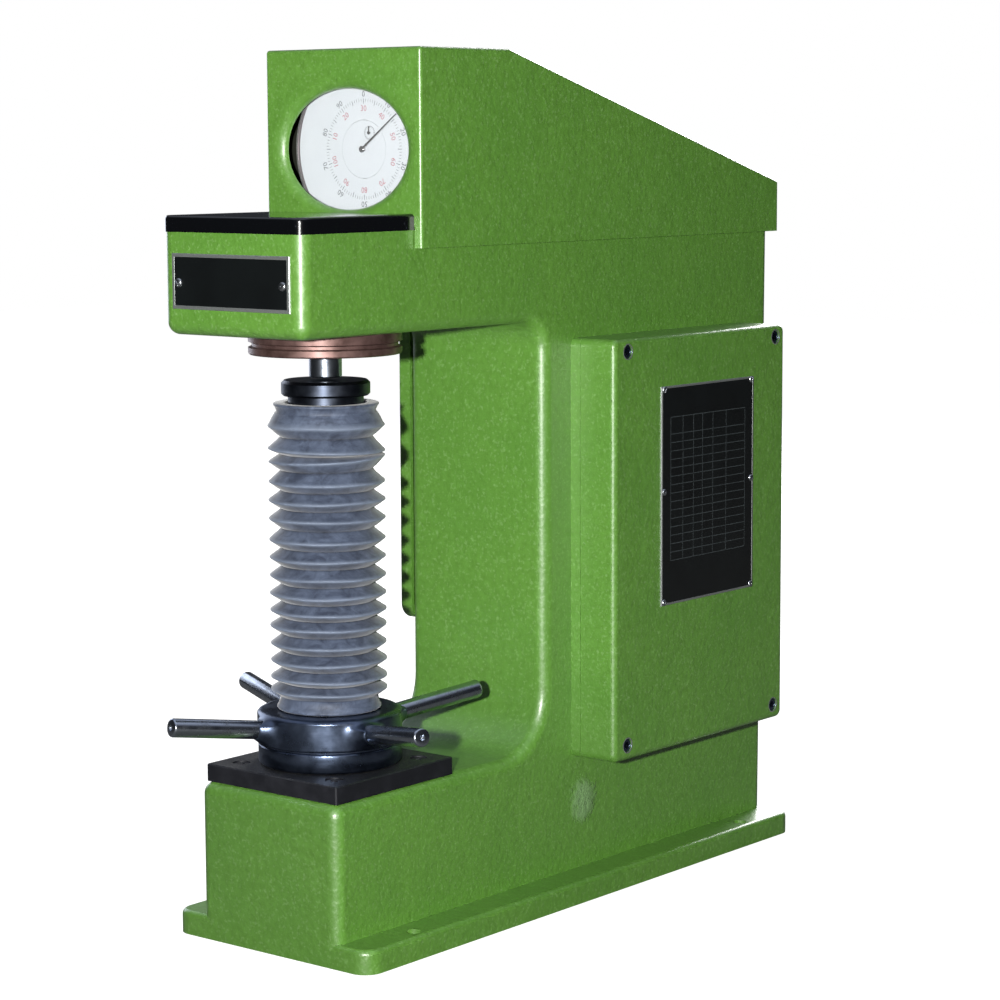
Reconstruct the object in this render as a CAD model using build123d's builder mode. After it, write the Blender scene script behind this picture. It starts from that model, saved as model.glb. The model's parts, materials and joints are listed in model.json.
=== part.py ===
from build123d import *
import os
from math import cos, degrees, pi, radians, sin

os.makedirs("parts", exist_ok=True)

# Bench hardness tester. Millimetres. Origin: middle of the base's bolt pattern, on the underside.
# +X is the side with the large cover, -Y is the operator's side, +Z is up.

# Casting
flange_width = 188.0
flange_length = 530.0
flange_thick = 17.2
flange_corner_r = 14.0
flange_rim_r = 4.0
bolt_x = 83.0
bolt_y = 204.0
bolt_hole_r = 5.5
body_half = 66.3
wall = 10.0
thick_wall = 12.0
base_top = 115.5
column_front = -32.0
head_front = -292.0
head_under = 437.5
head_top = 508.7
head_floor = 14.0
rear_low = 260.5
rear_high = 266.5
cavity_rear = 252.0
casting_edge_r = 9.0
base_throat_r = 45.0
head_throat_r = 20.0

# Spindle and screw axis
axis_y = -198.0
fit = 0.05

# Screw column
plate_half = 62.7
plate_top = 128.1
plate_screw_offset = 45.0
screw_r = 19.0
screw_low = 20.0
screw_high = 385.0
hub_low = 128.6
hub_shoulder = 143.5
hub_high = 167.0
hub_foot_r = 51.5
hub_r = 52.0
nut_r = 25.0
race_r = 41.0
roller_r = 2.5
roller_length = 9.0
roller_circle_r = 33.0
roller_count = 12
spoke_count = 4
spoke_r = 6.7
spoke_turn = -17.8
spoke_tilt = 8.0
spoke_root = 30.0
spoke_tip = 127.0
spoke_axis_z = 156.0
spoke_axis_at = 50.0
bellows_low = 167.5
bellows_high = 387.0
bellows_peak_r = 41.7
bellows_valley_r = 31.0
bellows_wall = 1.2
bellows_folds = 16
cuff_r = 37.8
cuff_high = 9.0
anvil_r = 31.6
anvil_top = 403.0
anvil_thick = 11.0
anvil_neck_r = 26.9

# Spindle
ring_r = 54.4
ring_low = 421.6
housing_r = 30.0
housing_low = 424.0
housing_high = 460.0
bush_r = 20.0
spindle_r = 14.0
spindle_low = 426.0
spindle_high = 463.0
indenter_r = 11.65
indenter_low = 404.9
tip_drop = 1.0
shank_r = 6.0

# Lever work
spindle_stroke = 0.6
fulcrum_arm = 16.0
lever_ratio = 20.0
fulcrum_y = axis_y - fulcrum_arm
fulcrum_z = 488.0
hanger_y = fulcrum_y + fulcrum_arm * lever_ratio
lift_y = 170.0
lever_tail = 190.0
lever_half = 12.0
lever_low = 468.0
lever_high = 492.0
knife_gap = 0.5
knife_tip_r = 0.2
weight_r = 48.0
weight_thicks = (44.0, 35.0, 44.0)
hanger_low = 80.0
pan_thick = 8.0
hanger_rod_r = 6.0

# Load lever
shaft_z = 330.0
shaft_r = 8.0
cam_r = 29.0
cam_half = 10.0
lever_swing = 75.0
hand_lever_x = -96.0
hand_lever_length = 150.0
knob_r = 15.0
dashpot_r = 24.0
dashpot_low = 385.0
dashpot_high = 445.0

# Covers
cover_face_x = 107.0
boss_face_x = 74.9
cover_y = (0.5, 228.6)
cover_z = (104.4, 423.6)
cover_screw_y = (17.5, 215.0)
cover_screw_z = (116.0, 414.0)
window_y = (26.0, 203.0)
window_z = (130.0, 398.0)
far_cover_y = (-30.0, 228.0)
far_cover_z = (201.0, 437.0)
far_cover_x = -78.3
hood_half = 73.3
hood_front = -178.0
hood_rear = 268.5
hood_low = 496.2
hood_high = 635.0
hood_ridge_y = -78.2
hood_rear_high = 536.4
sheet = 1.5
tray_half = 66.8
tray_front = -293.0
tray_top = 520.1
dial_x = 6.5
dial_z = 564.5
dial_opening_a = 53.0
dial_opening_b = 42.5
dial_face_y = -162.0
dial_face_r = 58.0
dial_centre_r = 20.5
bezel_r = 62.5
case_r = 52.0
case_rear = -134.0
plunger_y = -146.0
plate_thick = 1.0
spec_y = (59.0, 183.0)
spec_z = (217.0, 385.0)
spec_screw_y = (62.5, 179.5)
spec_screw_z = (219.5, 304.5, 382.5)
front_plate_x = 55.5
front_plate_z = (455.8, 494.2)


def upright(z_low, z_high, radius, mode=Mode.ADD, x=0.0, y=axis_y):
    with BuildSketch(Plane.XY.offset(z_low)) as outline:
        with Locations((x, y)):
            Circle(radius)
    extrude(outline.sketch, amount=z_high - z_low, mode=mode)


def crosswise(x_low, x_high, radius, y, z, mode=Mode.ADD):
    with BuildSketch(Plane.YZ.offset(x_low)) as outline:
        with Locations((y, z)):
            Circle(radius)
    extrude(outline.sketch, amount=x_high - x_low, mode=mode)


def lengthwise(y_front, y_rear, radius, x, z, mode=Mode.ADD):
    with BuildSketch(Plane.XZ.offset(-y_rear)) as outline:
        with Locations((x, z)):
            Circle(radius)
    extrude(outline.sketch, amount=y_rear - y_front, mode=mode)


def slab(x_span, y_span, z_span, mode=Mode.ADD, corner_r=0.0):
    with BuildSketch(Plane.XY.offset(z_span[0])) as outline:
        with Locations(((x_span[0] + x_span[1]) / 2, (y_span[0] + y_span[1]) / 2)):
            if corner_r > 0:
                RectangleRounded(x_span[1] - x_span[0], y_span[1] - y_span[0], corner_r)
            else:
                Rectangle(x_span[1] - x_span[0], y_span[1] - y_span[0])
    extrude(outline.sketch, amount=z_span[1] - z_span[0], mode=mode)


def side_panel(x_span, y_span, z_span, corner_r, mode=Mode.ADD):
    with BuildSketch(Plane.YZ.offset(x_span[0])) as outline:
        with Locations(((y_span[0] + y_span[1]) / 2, (z_span[0] + z_span[1]) / 2)):
            RectangleRounded(y_span[1] - y_span[0], z_span[1] - z_span[0], corner_r)
    extrude(outline.sketch, amount=x_span[1] - x_span[0], mode=mode)


def side_profile(points, half_width, mode=Mode.ADD):
    with BuildSketch(Plane.YZ) as outline:
        with BuildLine():
            Polyline(*points, close=True)
        make_face()
    extrude(outline.sketch, amount=half_width, both=True, mode=mode)


def turned(points, mode=Mode.ADD, x=0.0, y=axis_y):
    with BuildSketch(Plane.XZ) as outline:
        with BuildLine():
            Polyline(*points, close=True)
        make_face()
    turned_part = revolve(outline.sketch, axis=Axis.Z, mode=Mode.PRIVATE)
    add(Location((x, y, 0)) * turned_part, mode=mode)


def nearest(shapes, *target):
    aim = Vector(*target)
    return shapes.sort_by(lambda shape: (shape.center() - aim).length)[0]


# Frame casting: C-frame, box section, open on top and underneath
with BuildPart() as frame_casting:
    with BuildSketch(Plane.YZ) as frame_side:
        with BuildLine():
            Polyline(
                (-flange_length / 2, 0),
                (-flange_length / 2, base_top),
                (column_front, base_top),
                (column_front, head_under),
                (head_front, head_under),
                (head_front, head_top),
                (rear_high, head_top),
                (rear_low, 0),
                close=True,
            )
        make_face()
        fillet(nearest(frame_side.vertices(), column_front, base_top, 0), radius=base_throat_r)
        fillet(nearest(frame_side.vertices(), column_front, head_under, 0), radius=head_throat_r)
    extrude(amount=body_half, both=True)
    outer_edges = frame_casting.edges().filter_by(
        lambda edge: abs(abs(edge.center().X) - body_half) < 0.01
        and 0.1 < edge.center().Z < head_top - 0.1
    )
    nose_edges = frame_casting.edges().filter_by(Axis.X).filter_by(
        lambda edge: edge.center().Y < -flange_length / 2 + 1
        and 1 < edge.center().Z < head_top - 1
    )
    fillet(outer_edges + nose_edges, radius=casting_edge_r)
    slab(
        (-flange_width / 2, flange_width / 2),
        (-flange_length / 2, flange_length / 2),
        (0, flange_thick),
        corner_r=flange_corner_r,
    )
    flange_rim = frame_casting.edges().filter_by(
        lambda edge: abs(edge.center().Z - flange_thick) < 0.01
        and (abs(edge.center().X) > body_half + 1 or edge.center().Y > flange_length / 2 - 1)
    )
    fillet(flange_rim, radius=flange_rim_r)
    side_panel((body_half - wall, boss_face_x), cover_y, cover_z, corner_r=6)
    boss_rim = frame_casting.faces().sort_by(Axis.X)[-1].outer_wire().edges()
    # Core of the casting
    core_floor = base_top - head_floor
    with BuildSketch(Plane.YZ) as core_side:
        with BuildLine():
            Polyline(
                (-flange_length / 2 + thick_wall, -1),
                (-flange_length / 2 + thick_wall, core_floor),
                (column_front + thick_wall, core_floor),
                (column_front + thick_wall, head_under + head_floor),
                (head_front + thick_wall, head_under + head_floor),
                (head_front + thick_wall, head_top + 1),
                (cavity_rear, head_top + 1),
                (cavity_rear, -1),
                close=True,
            )
        make_face()
        fillet(
            nearest(core_side.vertices(), column_front + thick_wall, core_floor, 0),
            radius=base_throat_r - thick_wall,
        )
    extrude(amount=body_half - wall, both=True, mode=Mode.SUBTRACT)
    side_panel((body_half - wall - 1, boss_face_x + 1), window_y, window_z, 12, Mode.SUBTRACT)
    # Bosses for the screw bush, the spindle housing and the load shaft
    upright(62, core_floor, 38)
    upright(61, base_top + 1, 24, Mode.SUBTRACT)
    upright(head_under + head_floor, head_under + head_floor + 5, 42)
    upright(head_under - 1, head_under + head_floor + 6, housing_r, Mode.SUBTRACT)
    crosswise(-body_half + wall, -30, 18, lift_y, shaft_z)
    crosswise(-body_half - 1, -29, 12, lift_y, shaft_z, Mode.SUBTRACT)
    # Webs under the base top
    for web_y in (-110.0, -50.0):
        slab((-body_half + wall, body_half - wall), (web_y - 4, web_y + 4), (70, core_floor))
    # Holes: base bolts, cover screws
    with BuildSketch(Plane.XY) as bolt_holes:
        with GridLocations(2 * bolt_x, 2 * bolt_y, 2, 2):
            Circle(bolt_hole_r)
    extrude(amount=flange_thick, mode=Mode.SUBTRACT)
    for screw_y in cover_screw_y:
        for screw_z in cover_screw_z:
            crosswise(body_half, boss_face_x, 3 + fit, screw_y, screw_z, Mode.SUBTRACT)
frame_casting.part.label = "frame_casting"
export_step(frame_casting.part, "parts/frame_casting.step")

# Square plate that carries the capstan
with BuildPart() as screw_plate:
    slab(
        (-plate_half, plate_half),
        (axis_y - plate_half, axis_y + plate_half),
        (base_top, plate_top),
        corner_r=1.5,
    )
    chamfer(screw_plate.faces().sort_by(Axis.Z)[-1].outer_wire().edges(), length=0.8)
    upright(plate_top - 6, plate_top, race_r + fit, Mode.SUBTRACT)
    upright(base_top, plate_top, screw_r + 3, Mode.SUBTRACT)
    with BuildSketch(Plane.XY.offset(plate_top)) as plate_screw_mouths:
        with Locations((0, axis_y)):
            with GridLocations(2 * plate_screw_offset, 2 * plate_screw_offset, 2, 2):
                Circle(6.5)
    extrude(amount=-6.5, mode=Mode.SUBTRACT)
    with BuildSketch(Plane.XY.offset(base_top)) as plate_screw_holes:
        with Locations((0, axis_y)):
            with GridLocations(2 * plate_screw_offset, 2 * plate_screw_offset, 2, 2):
                Circle(4)
    extrude(amount=8, mode=Mode.SUBTRACT)
screw_plate.part.label = "screw_plate"
export_step(screw_plate.part, "parts/screw_plate.step")

with BuildPart() as plate_screws:
    with BuildSketch(Plane.XY.offset(plate_top - 6.5)) as plate_screw_heads:
        with Locations((0, axis_y)):
            with GridLocations(2 * plate_screw_offset, 2 * plate_screw_offset, 2, 2):
                Circle(6.2)
                RegularPolygon(2.9, 6, mode=Mode.SUBTRACT)
    extrude(amount=5.5)
    with BuildSketch(Plane.XY.offset(base_top)) as plate_screw_shanks:
        with Locations((0, axis_y)):
            with GridLocations(2 * plate_screw_offset, 2 * plate_screw_offset, 2, 2):
                Circle(3.9)
    extrude(amount=7)
plate_screws.part.label = "plate_screws"
export_step(plate_screws.part, "parts/plate_screws.step")

# Guide bush and key that stop the screw turning
with BuildPart() as screw_bush:
    upright(62, base_top, 24 - fit)
    upright(62, base_top, screw_r + fit, Mode.SUBTRACT)
    slab((-3, 3), (axis_y + 15, axis_y + 25), (66, 98), Mode.SUBTRACT)
screw_bush.part.label = "screw_bush"
export_step(screw_bush.part, "parts/screw_bush.step")

with BuildPart() as guide_key:
    slab((-2.95, 2.95), (axis_y + 16.6, axis_y + 23.5), (66, 98))
guide_key.part.label = "guide_key"
export_step(guide_key.part, "parts/guide_key.step")

# Thrust bearing under the capstan
with BuildPart() as lower_race:
    upright(plate_top - 6, plate_top - 2.5, race_r)
    upright(plate_top - 6, plate_top - 2.5, nut_r + 1, Mode.SUBTRACT)
lower_race.part.label = "lower_race"
export_step(lower_race.part, "parts/lower_race.step")

with BuildPart() as bearing_rollers:
    with Locations((0, axis_y, plate_top)):
        with PolarLocations(roller_circle_r, roller_count):
            Cylinder(roller_r - fit, roller_length, rotation=(0, 90, 0))
bearing_rollers.part.label = "bearing_rollers"
export_step(bearing_rollers.part, "parts/bearing_rollers.step")

with BuildPart() as upper_race:
    upright(plate_top + 2.8, plate_top + 6, race_r)
    upright(plate_top + 2.8, plate_top + 6, nut_r + 1, Mode.SUBTRACT)
upper_race.part.label = "upper_race"
export_step(upper_race.part, "parts/upper_race.step")

# Capstan: hub with four flared sockets, bronze nut and four spokes
spoke_drop = spoke_axis_z - spoke_axis_at * sin(radians(spoke_tilt)) / cos(radians(spoke_tilt))


def spoke_plane(index):
    heading = radians(spoke_turn + index * 360 / spoke_count)
    tilt = radians(spoke_tilt)
    run = (cos(heading) * cos(tilt), sin(heading) * cos(tilt), sin(tilt))
    return Plane(origin=(0, axis_y, spoke_drop), z_dir=run)


def along_spoke(index, start, end, radius_start, radius_end, mode=Mode.ADD):
    with BuildSketch(spoke_plane(index).offset(start)) as section:
        Circle(radius_start)
    lean = degrees(-(radius_end - radius_start) / (end - start))
    extrude(section.sketch, amount=end - start, taper=lean, mode=mode)


with BuildPart() as capstan_hub:
    upright(hub_low, hub_shoulder, hub_foot_r)
    upright(hub_shoulder, hub_high, hub_r)
    for index in range(spoke_count):
        along_spoke(index, 38, 62, 15, 9.5)
    upright(hub_high, hub_high + 15, 80, Mode.SUBTRACT)
    chamfer(
        capstan_hub.edges().filter_by(GeomType.CIRCLE).filter_by(
            lambda edge: edge.center().Z > hub_high - 0.1
        ),
        length=2,
    )
    for index in range(spoke_count):
        along_spoke(index, spoke_root, 70, spoke_r + fit, spoke_r + fit, Mode.SUBTRACT)
    upright(hub_low, plate_top + 6, race_r + fit, Mode.SUBTRACT)
    upright(hub_low, hub_high - 5, nut_r + fit, Mode.SUBTRACT)
    upright(hub_low, hub_high, screw_r + 1, Mode.SUBTRACT)
capstan_hub.part.label = "capstan_hub"
export_step(capstan_hub.part, "parts/capstan_hub.step")

with BuildPart() as capstan_nut:
    upright(hub_low, hub_high - 5, nut_r)
    upright(hub_low, hub_high - 5, screw_r + fit, Mode.SUBTRACT)
capstan_nut.part.label = "capstan_nut"
export_step(capstan_nut.part, "parts/capstan_nut.step")

with BuildPart() as spokes:
    for index in range(spoke_count):
        along_spoke(index, spoke_root, spoke_tip / cos(radians(spoke_tilt)), spoke_r, spoke_r)
    spoke_ends = spokes.edges().filter_by(GeomType.CIRCLE).filter_by(
        lambda edge: (edge.center() - Vector(0, axis_y, spoke_axis_z)).length > spoke_tip - 10
    )
    chamfer(spoke_ends, length=1)
spokes.part.label = "spokes"
export_step(spokes.part, "parts/spokes.step")

# Elevating screw with keyway, stop collar and anvil socket
with BuildPart() as elevating_screw:
    upright(screw_low, screw_high, screw_r)
    upright(screw_high - 30, screw_high, 8 + fit, Mode.SUBTRACT)
    slab((-3.05, 3.05), (axis_y + 16.2, axis_y + 20), (screw_low, screw_high - 25), Mode.SUBTRACT)
elevating_screw.part.label = "elevating_screw"
export_step(elevating_screw.part, "parts/elevating_screw.step")

with BuildPart() as anvil:
    turned(
        (
            (0, screw_high - 28),
            (8, screw_high - 28),
            (8, screw_high),
            (anvil_neck_r, screw_high),
            (anvil_neck_r, anvil_top - anvil_thick),
            (anvil_r - 1.5, anvil_top - anvil_thick),
            (anvil_r, anvil_top - anvil_thick + 1.5),
            (anvil_r, anvil_top - 2),
            (anvil_r - 2, anvil_top),
            (0, anvil_top),
        )
    )
anvil.part.label = "anvil"
export_step(anvil.part, "parts/anvil.step")

# Rubber bellows: cuff, even folds, cuff
fold_low = bellows_low + cuff_high
fold_pitch = (bellows_high - cuff_high - 2 - fold_low) / bellows_folds
outer_folds = []
for fold in range(bellows_folds):
    fold_z = fold_low + fold * fold_pitch
    outer_folds += [(bellows_valley_r, fold_z), (bellows_peak_r, fold_z + fold_pitch / 2)]
fold_end = fold_low + bellows_folds * fold_pitch
with BuildPart() as bellows:
    turned(
        [(cuff_r, bellows_low), (cuff_r - 2, fold_low - 2)]
        + outer_folds
        + [(bellows_valley_r, fold_end), (cuff_r, fold_end + 2), (cuff_r, bellows_high)]
        + [(anvil_neck_r + 0.3, bellows_high), (anvil_neck_r + 0.3, bellows_high - 2)]
        + [(bellows_valley_r - bellows_wall, fold_end - 2), (bellows_valley_r - bellows_wall, bellows_low)]
    )
bellows.part.label = "bellows"
export_step(bellows.part, "parts/bellows.step")

# Spindle head: grooved clamping ring, housing, bushes, spindle, indenter
with BuildPart() as clamp_ring:
    turned(
        (
            (housing_r + fit, ring_low + 2),
            (housing_r + 2, ring_low),
            (ring_r - 1, ring_low),
            (ring_r, ring_low + 1),
            (ring_r, ring_low + 5),
            (ring_r - 2.5, ring_low + 6),
            (ring_r - 2.5, ring_low + 8),
            (ring_r, ring_low + 9),
            (ring_r, head_under),
            (housing_r + fit, head_under),
        )
    )
clamp_ring.part.label = "clamp_ring"
export_step(clamp_ring.part, "parts/clamp_ring.step")

with BuildPart() as spindle_housing:
    upright(housing_low, housing_high, housing_r - fit)
    upright(housing_low + 3, housing_high, bush_r + fit, Mode.SUBTRACT)
    upright(housing_low, housing_high, spindle_r + 1, Mode.SUBTRACT)
spindle_housing.part.label = "spindle_housing"
export_step(spindle_housing.part, "parts/spindle_housing.step")

with BuildPart() as spindle_bushes:
    for bush_low in (housing_low + 3, housing_high - 12):
        upright(bush_low, bush_low + 12, bush_r)
        upright(bush_low, bush_low + 12, spindle_r + fit, Mode.SUBTRACT)
spindle_bushes.part.label = "spindle_bushes"
export_step(spindle_bushes.part, "parts/spindle_bushes.step")

shoulder_low = housing_low + 18
with BuildPart() as return_spring:
    turned(
        (
            (spindle_r + 0.5, shoulder_low - 2.2),
            (spindle_r + 0.5, shoulder_low - 1),
            (bush_r - 1.5, shoulder_low - 1.8),
            (bush_r - 1.5, shoulder_low - 3),
        )
    )
return_spring.part.label = "return_spring"
export_step(return_spring.part, "parts/return_spring.step")

with BuildPart() as spindle:
    upright(spindle_low, spindle_high, spindle_r)
    upright(shoulder_low, shoulder_low + 3, bush_r - 1)
    upright(spindle_high, spindle_high + 2, 8)
    upright(spindle_low, spindle_low + 20, shank_r + fit, Mode.SUBTRACT)
spindle.part.label = "spindle"
export_step(spindle.part, "parts/spindle.step")

with BuildPart() as indenter:
    turned(
        (
            (0, indenter_low - tip_drop),
            (1.7, indenter_low),
            (indenter_r - 0.8, indenter_low),
            (indenter_r, indenter_low + 0.8),
            (indenter_r, spindle_low),
            (shank_r, spindle_low),
            (shank_r, spindle_low + 18),
            (0, spindle_low + 18),
        )
    )
indenter.part.label = "indenter"
export_step(indenter.part, "parts/indenter.step")

# Main lever on knife edges, 20 to 1
knife_tip_z = spindle_high + 2 + knife_gap
with BuildPart() as main_lever:
    with BuildSketch(Plane.YZ) as lever_side:
        with BuildLine():
            Polyline(
                (fulcrum_y - 10, lever_low),
                (fulcrum_y - 10, fulcrum_z - 6),
                (axis_y + 4, fulcrum_z - 6),
                (axis_y + 24, lever_high),
                (lever_tail, lever_high - 4),
                (lever_tail, lever_low),
                close=True,
            )
        make_face()
    extrude(amount=lever_half, both=True)
    slab((-26, 26), (fulcrum_y - 9, fulcrum_y + 9), (fulcrum_z - 18, fulcrum_z - 6))
    with BuildSketch(Plane.YZ.offset(-lever_half)) as lever_windows:
        for window_mid in (-120.0, -40.0, 40.0):
            with Locations((window_mid, (lever_low + lever_high) / 2 - 1)):
                SlotOverall(50, 8)
    extrude(amount=2 * lever_half, mode=Mode.SUBTRACT)
main_lever.part.label = "main_lever"
export_step(main_lever.part, "parts/main_lever.step")


def knife(x_low, x_high, y, z_root, z_tip):
    with BuildSketch(Plane.YZ.offset(x_low)) as wedge:
        with BuildLine():
            Polyline((y - 4, z_root), (y, z_tip), (y + 4, z_root), close=True)
        make_face()
        with Locations((y, z_tip)):
            Circle(knife_tip_r)
    extrude(wedge.sketch, amount=x_high - x_low)


hanger_knife_z = lever_high + 4
with BuildPart() as knife_edges:
    knife(15, 25, fulcrum_y, fulcrum_z - 6, fulcrum_z)
    knife(-25, -15, fulcrum_y, fulcrum_z - 6, fulcrum_z)
    knife(-7, 7, axis_y, lever_low, knife_tip_z)
    knife(-lever_half, lever_half, hanger_y, lever_high - 2.9, hanger_knife_z)
knife_edges.part.label = "knife_edges"
export_step(knife_edges.part, "parts/knife_edges.step")

# Bridge across the head with the fulcrum's V seat
with BuildPart() as fulcrum_block:
    slab(
        (-body_half + wall + fit, body_half - wall - fit),
        (fulcrum_y - 9, fulcrum_y + 9),
        (fulcrum_z - 1.5, head_top - 1),
    )
    with BuildSketch(Plane.YZ) as vee_seat:
        with BuildLine():
            Polyline(
                (fulcrum_y - 5, fulcrum_z - 2),
                (fulcrum_y, fulcrum_z + knife_gap),
                (fulcrum_y + 5, fulcrum_z - 2),
                close=True,
            )
        make_face()
    extrude(amount=30, both=True, mode=Mode.SUBTRACT)
fulcrum_block.part.label = "fulcrum_block"
export_step(fulcrum_block.part, "parts/fulcrum_block.step")

# Weight hanger: stirrup over the lever, rod and pan
with BuildPart() as weight_hanger:
    slab((-19, 19), (hanger_y - 6, hanger_y + 6), (lever_low - 20, hanger_knife_z + 7))
    slab((-14, 14), (hanger_y - 7, hanger_y + 7), (lever_low - 12, hanger_knife_z - 1), Mode.SUBTRACT)
    with BuildSketch(Plane.YZ) as stirrup_vee:
        with BuildLine():
            Polyline(
                (hanger_y - 5, hanger_knife_z - 2),
                (hanger_y, hanger_knife_z + knife_gap),
                (hanger_y + 5, hanger_knife_z - 2),
                close=True,
            )
        make_face()
    extrude(amount=14, both=True, mode=Mode.SUBTRACT)
    upright(hanger_low, lever_low - 20, hanger_rod_r, x=0, y=hanger_y)
    upright(hanger_low, hanger_low + pan_thick, 30, x=0, y=hanger_y)
weight_hanger.part.label = "weight_hanger"
export_step(weight_hanger.part, "parts/weight_hanger.step")

# Slotted weights: pan load, then two added loads
weight_low = hanger_low + pan_thick
for weight_name, weight_thick in zip(("weight_low", "weight_middle", "weight_top"), weight_thicks):
    with BuildPart() as weight:
        upright(weight_low, weight_low + weight_thick, weight_r, x=0, y=hanger_y)
        chamfer(weight.edges().filter_by(GeomType.CIRCLE), length=1.5)
        upright(weight_low, weight_low + weight_thick, hanger_rod_r + 0.5, Mode.SUBTRACT, 0, hanger_y)
        slab(
            (-hanger_rod_r - 0.5, hanger_rod_r + 0.5),
            (hanger_y - weight_r, hanger_y),
            (weight_low, weight_low + weight_thick),
            Mode.SUBTRACT,
        )
    weight.part.label = weight_name
    export_step(weight.part, f"parts/{weight_name}.step")
    weight_low += weight_thick

# Lift rod with dashpot piston, and the dashpot
with BuildPart() as lift_rod:
    upright(shaft_z + cam_r + 1.2 + hanger_rod_r, lever_low - 0.6, hanger_rod_r, x=0, y=lift_y)
    with Locations((0, lift_y, shaft_z + cam_r + 1.2 + hanger_rod_r)):
        Sphere(hanger_rod_r)
    upright(dashpot_high - 16, dashpot_high - 8, dashpot_r - 6 - 0.1, x=0, y=lift_y)
lift_rod.part.label = "lift_rod"
export_step(lift_rod.part, "parts/lift_rod.step")

with BuildPart() as dashpot:
    upright(dashpot_low, dashpot_high, dashpot_r, x=0, y=lift_y)
    slab((-14, 14), (lift_y + 15, cavity_rear - 8), (dashpot_low + 10, dashpot_high - 10))
    slab((-30, 30), (cavity_rear - 8, cavity_rear), (dashpot_low, dashpot_high))
    upright(dashpot_low + 5, dashpot_high - 5, dashpot_r - 6, Mode.SUBTRACT, 0, lift_y)
    upright(dashpot_low, dashpot_high, hanger_rod_r + fit, Mode.SUBTRACT, 0, lift_y)
dashpot.part.label = "dashpot"
export_step(dashpot.part, "parts/dashpot.step")

# Load lever: shaft, bush, falling cam, arm and ball knob
stroke_angle = spindle_stroke / fulcrum_arm
lift_stroke = (lift_y - fulcrum_y) * stroke_angle
with BuildPart() as shaft_bush:
    crosswise(-body_half, -30, 12 - fit, lift_y, shaft_z)
    crosswise(-body_half, -30, shaft_r + fit, lift_y, shaft_z, Mode.SUBTRACT)
shaft_bush.part.label = "shaft_bush"
export_step(shaft_bush.part, "parts/shaft_bush.step")

with BuildPart() as load_shaft:
    crosswise(hand_lever_x - 8, cam_half + 3, shaft_r, lift_y, shaft_z)
load_shaft.part.label = "load_shaft"
export_step(load_shaft.part, "parts/load_shaft.step")


def cam_point(turn):
    """Point of the cam's edge, at this angle from the top towards the rear, in degrees."""
    fallen = min(max(turn, 0) / lever_swing, 1.12)
    reach = cam_r - lift_stroke * fallen
    if turn < 0:
        reach = cam_r - 0.16 * turn * turn / 40
    angle = radians(90 - turn)
    return (lift_y + reach * cos(angle), shaft_z + reach * sin(angle))


with BuildPart() as lift_cam:
    with BuildSketch(Plane.YZ.offset(-cam_half)) as cam_side:
        with BuildLine():
            falling = Spline(*[cam_point(turn) for turn in range(0, 91, 15)])
            back = ThreePointArc(falling @ 1, (lift_y, shaft_z - 14), (lift_y - 14, shaft_z))
            Line(back @ 1, falling @ 0)
        make_face()
        with Locations((lift_y, shaft_z)):
            Circle(14)
            Circle(shaft_r + fit, mode=Mode.SUBTRACT)
    extrude(amount=2 * cam_half)
lift_cam.part.label = "lift_cam"
export_step(lift_cam.part, "parts/lift_cam.step")

arm_top = shaft_z + hand_lever_length
knob_seat_angle = 150
knob_seat = arm_top + knob_r * cos(radians(knob_seat_angle))
with BuildPart() as hand_lever:
    crosswise(hand_lever_x - 8, hand_lever_x + 8, 15, lift_y, shaft_z)
    with BuildSketch(Plane.XY.offset(shaft_z + 10)) as arm_root:
        with Locations((hand_lever_x, lift_y)):
            Circle(6.5)
    extrude(amount=knob_seat - shaft_z - 10, taper=0.7)
    crosswise(hand_lever_x - 9, hand_lever_x + 9, shaft_r + fit, lift_y, shaft_z, Mode.SUBTRACT)
hand_lever.part.label = "hand_lever"
export_step(hand_lever.part, "parts/hand_lever.step")

# The knob's outline steps by equal angles from its crown to the flat seat on the arm
knob_outline = [
    (knob_r * sin(radians(turn)), arm_top + knob_r * cos(radians(turn)))
    for turn in range(0, knob_seat_angle + 1, 15)
]
with BuildPart() as lever_knob:
    turned(knob_outline + [(0, knob_seat)], x=hand_lever_x, y=lift_y)
lever_knob.part.label = "lever_knob"
export_step(lever_knob.part, "parts/lever_knob.step")

# Cover on the far side, with the load shaft through it
with BuildPart() as far_cover:
    side_panel((far_cover_x, -body_half), far_cover_y, far_cover_z, corner_r=12)
    fillet(far_cover.faces().sort_by(Axis.X)[0].outer_wire().edges(), radius=2.5)
    side_panel(
        (far_cover_x + 3, -body_half),
        (far_cover_y[0] + 3, far_cover_y[1] - 3),
        (far_cover_z[0] + 3, far_cover_z[1] - 3),
        9,
        Mode.SUBTRACT,
    )
    far_screws = [
        (y, z)
        for y in (far_cover_y[0] + 14, far_cover_y[1] - 14)
        for z in (far_cover_z[0] + 14, far_cover_z[1] - 14)
    ]
    for screw_y, screw_z in far_screws:
        crosswise(far_cover_x + 3, -body_half, 6, screw_y, screw_z)
        crosswise(far_cover_x, -body_half, 2 + fit, screw_y, screw_z, Mode.SUBTRACT)
    crosswise(far_cover_x, -body_half, shaft_r + 1, lift_y, shaft_z, Mode.SUBTRACT)
far_cover.part.label = "far_cover"
export_step(far_cover.part, "parts/far_cover.step")

with BuildPart() as far_cover_screws:
    for screw_y, screw_z in far_screws:
        crosswise(far_cover_x - 2.5, far_cover_x, 4, screw_y, screw_z)
        crosswise(far_cover_x, -body_half, 2, screw_y, screw_z)
far_cover_screws.part.label = "far_cover_screws"
export_step(far_cover_screws.part, "parts/far_cover_screws.step")

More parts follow.
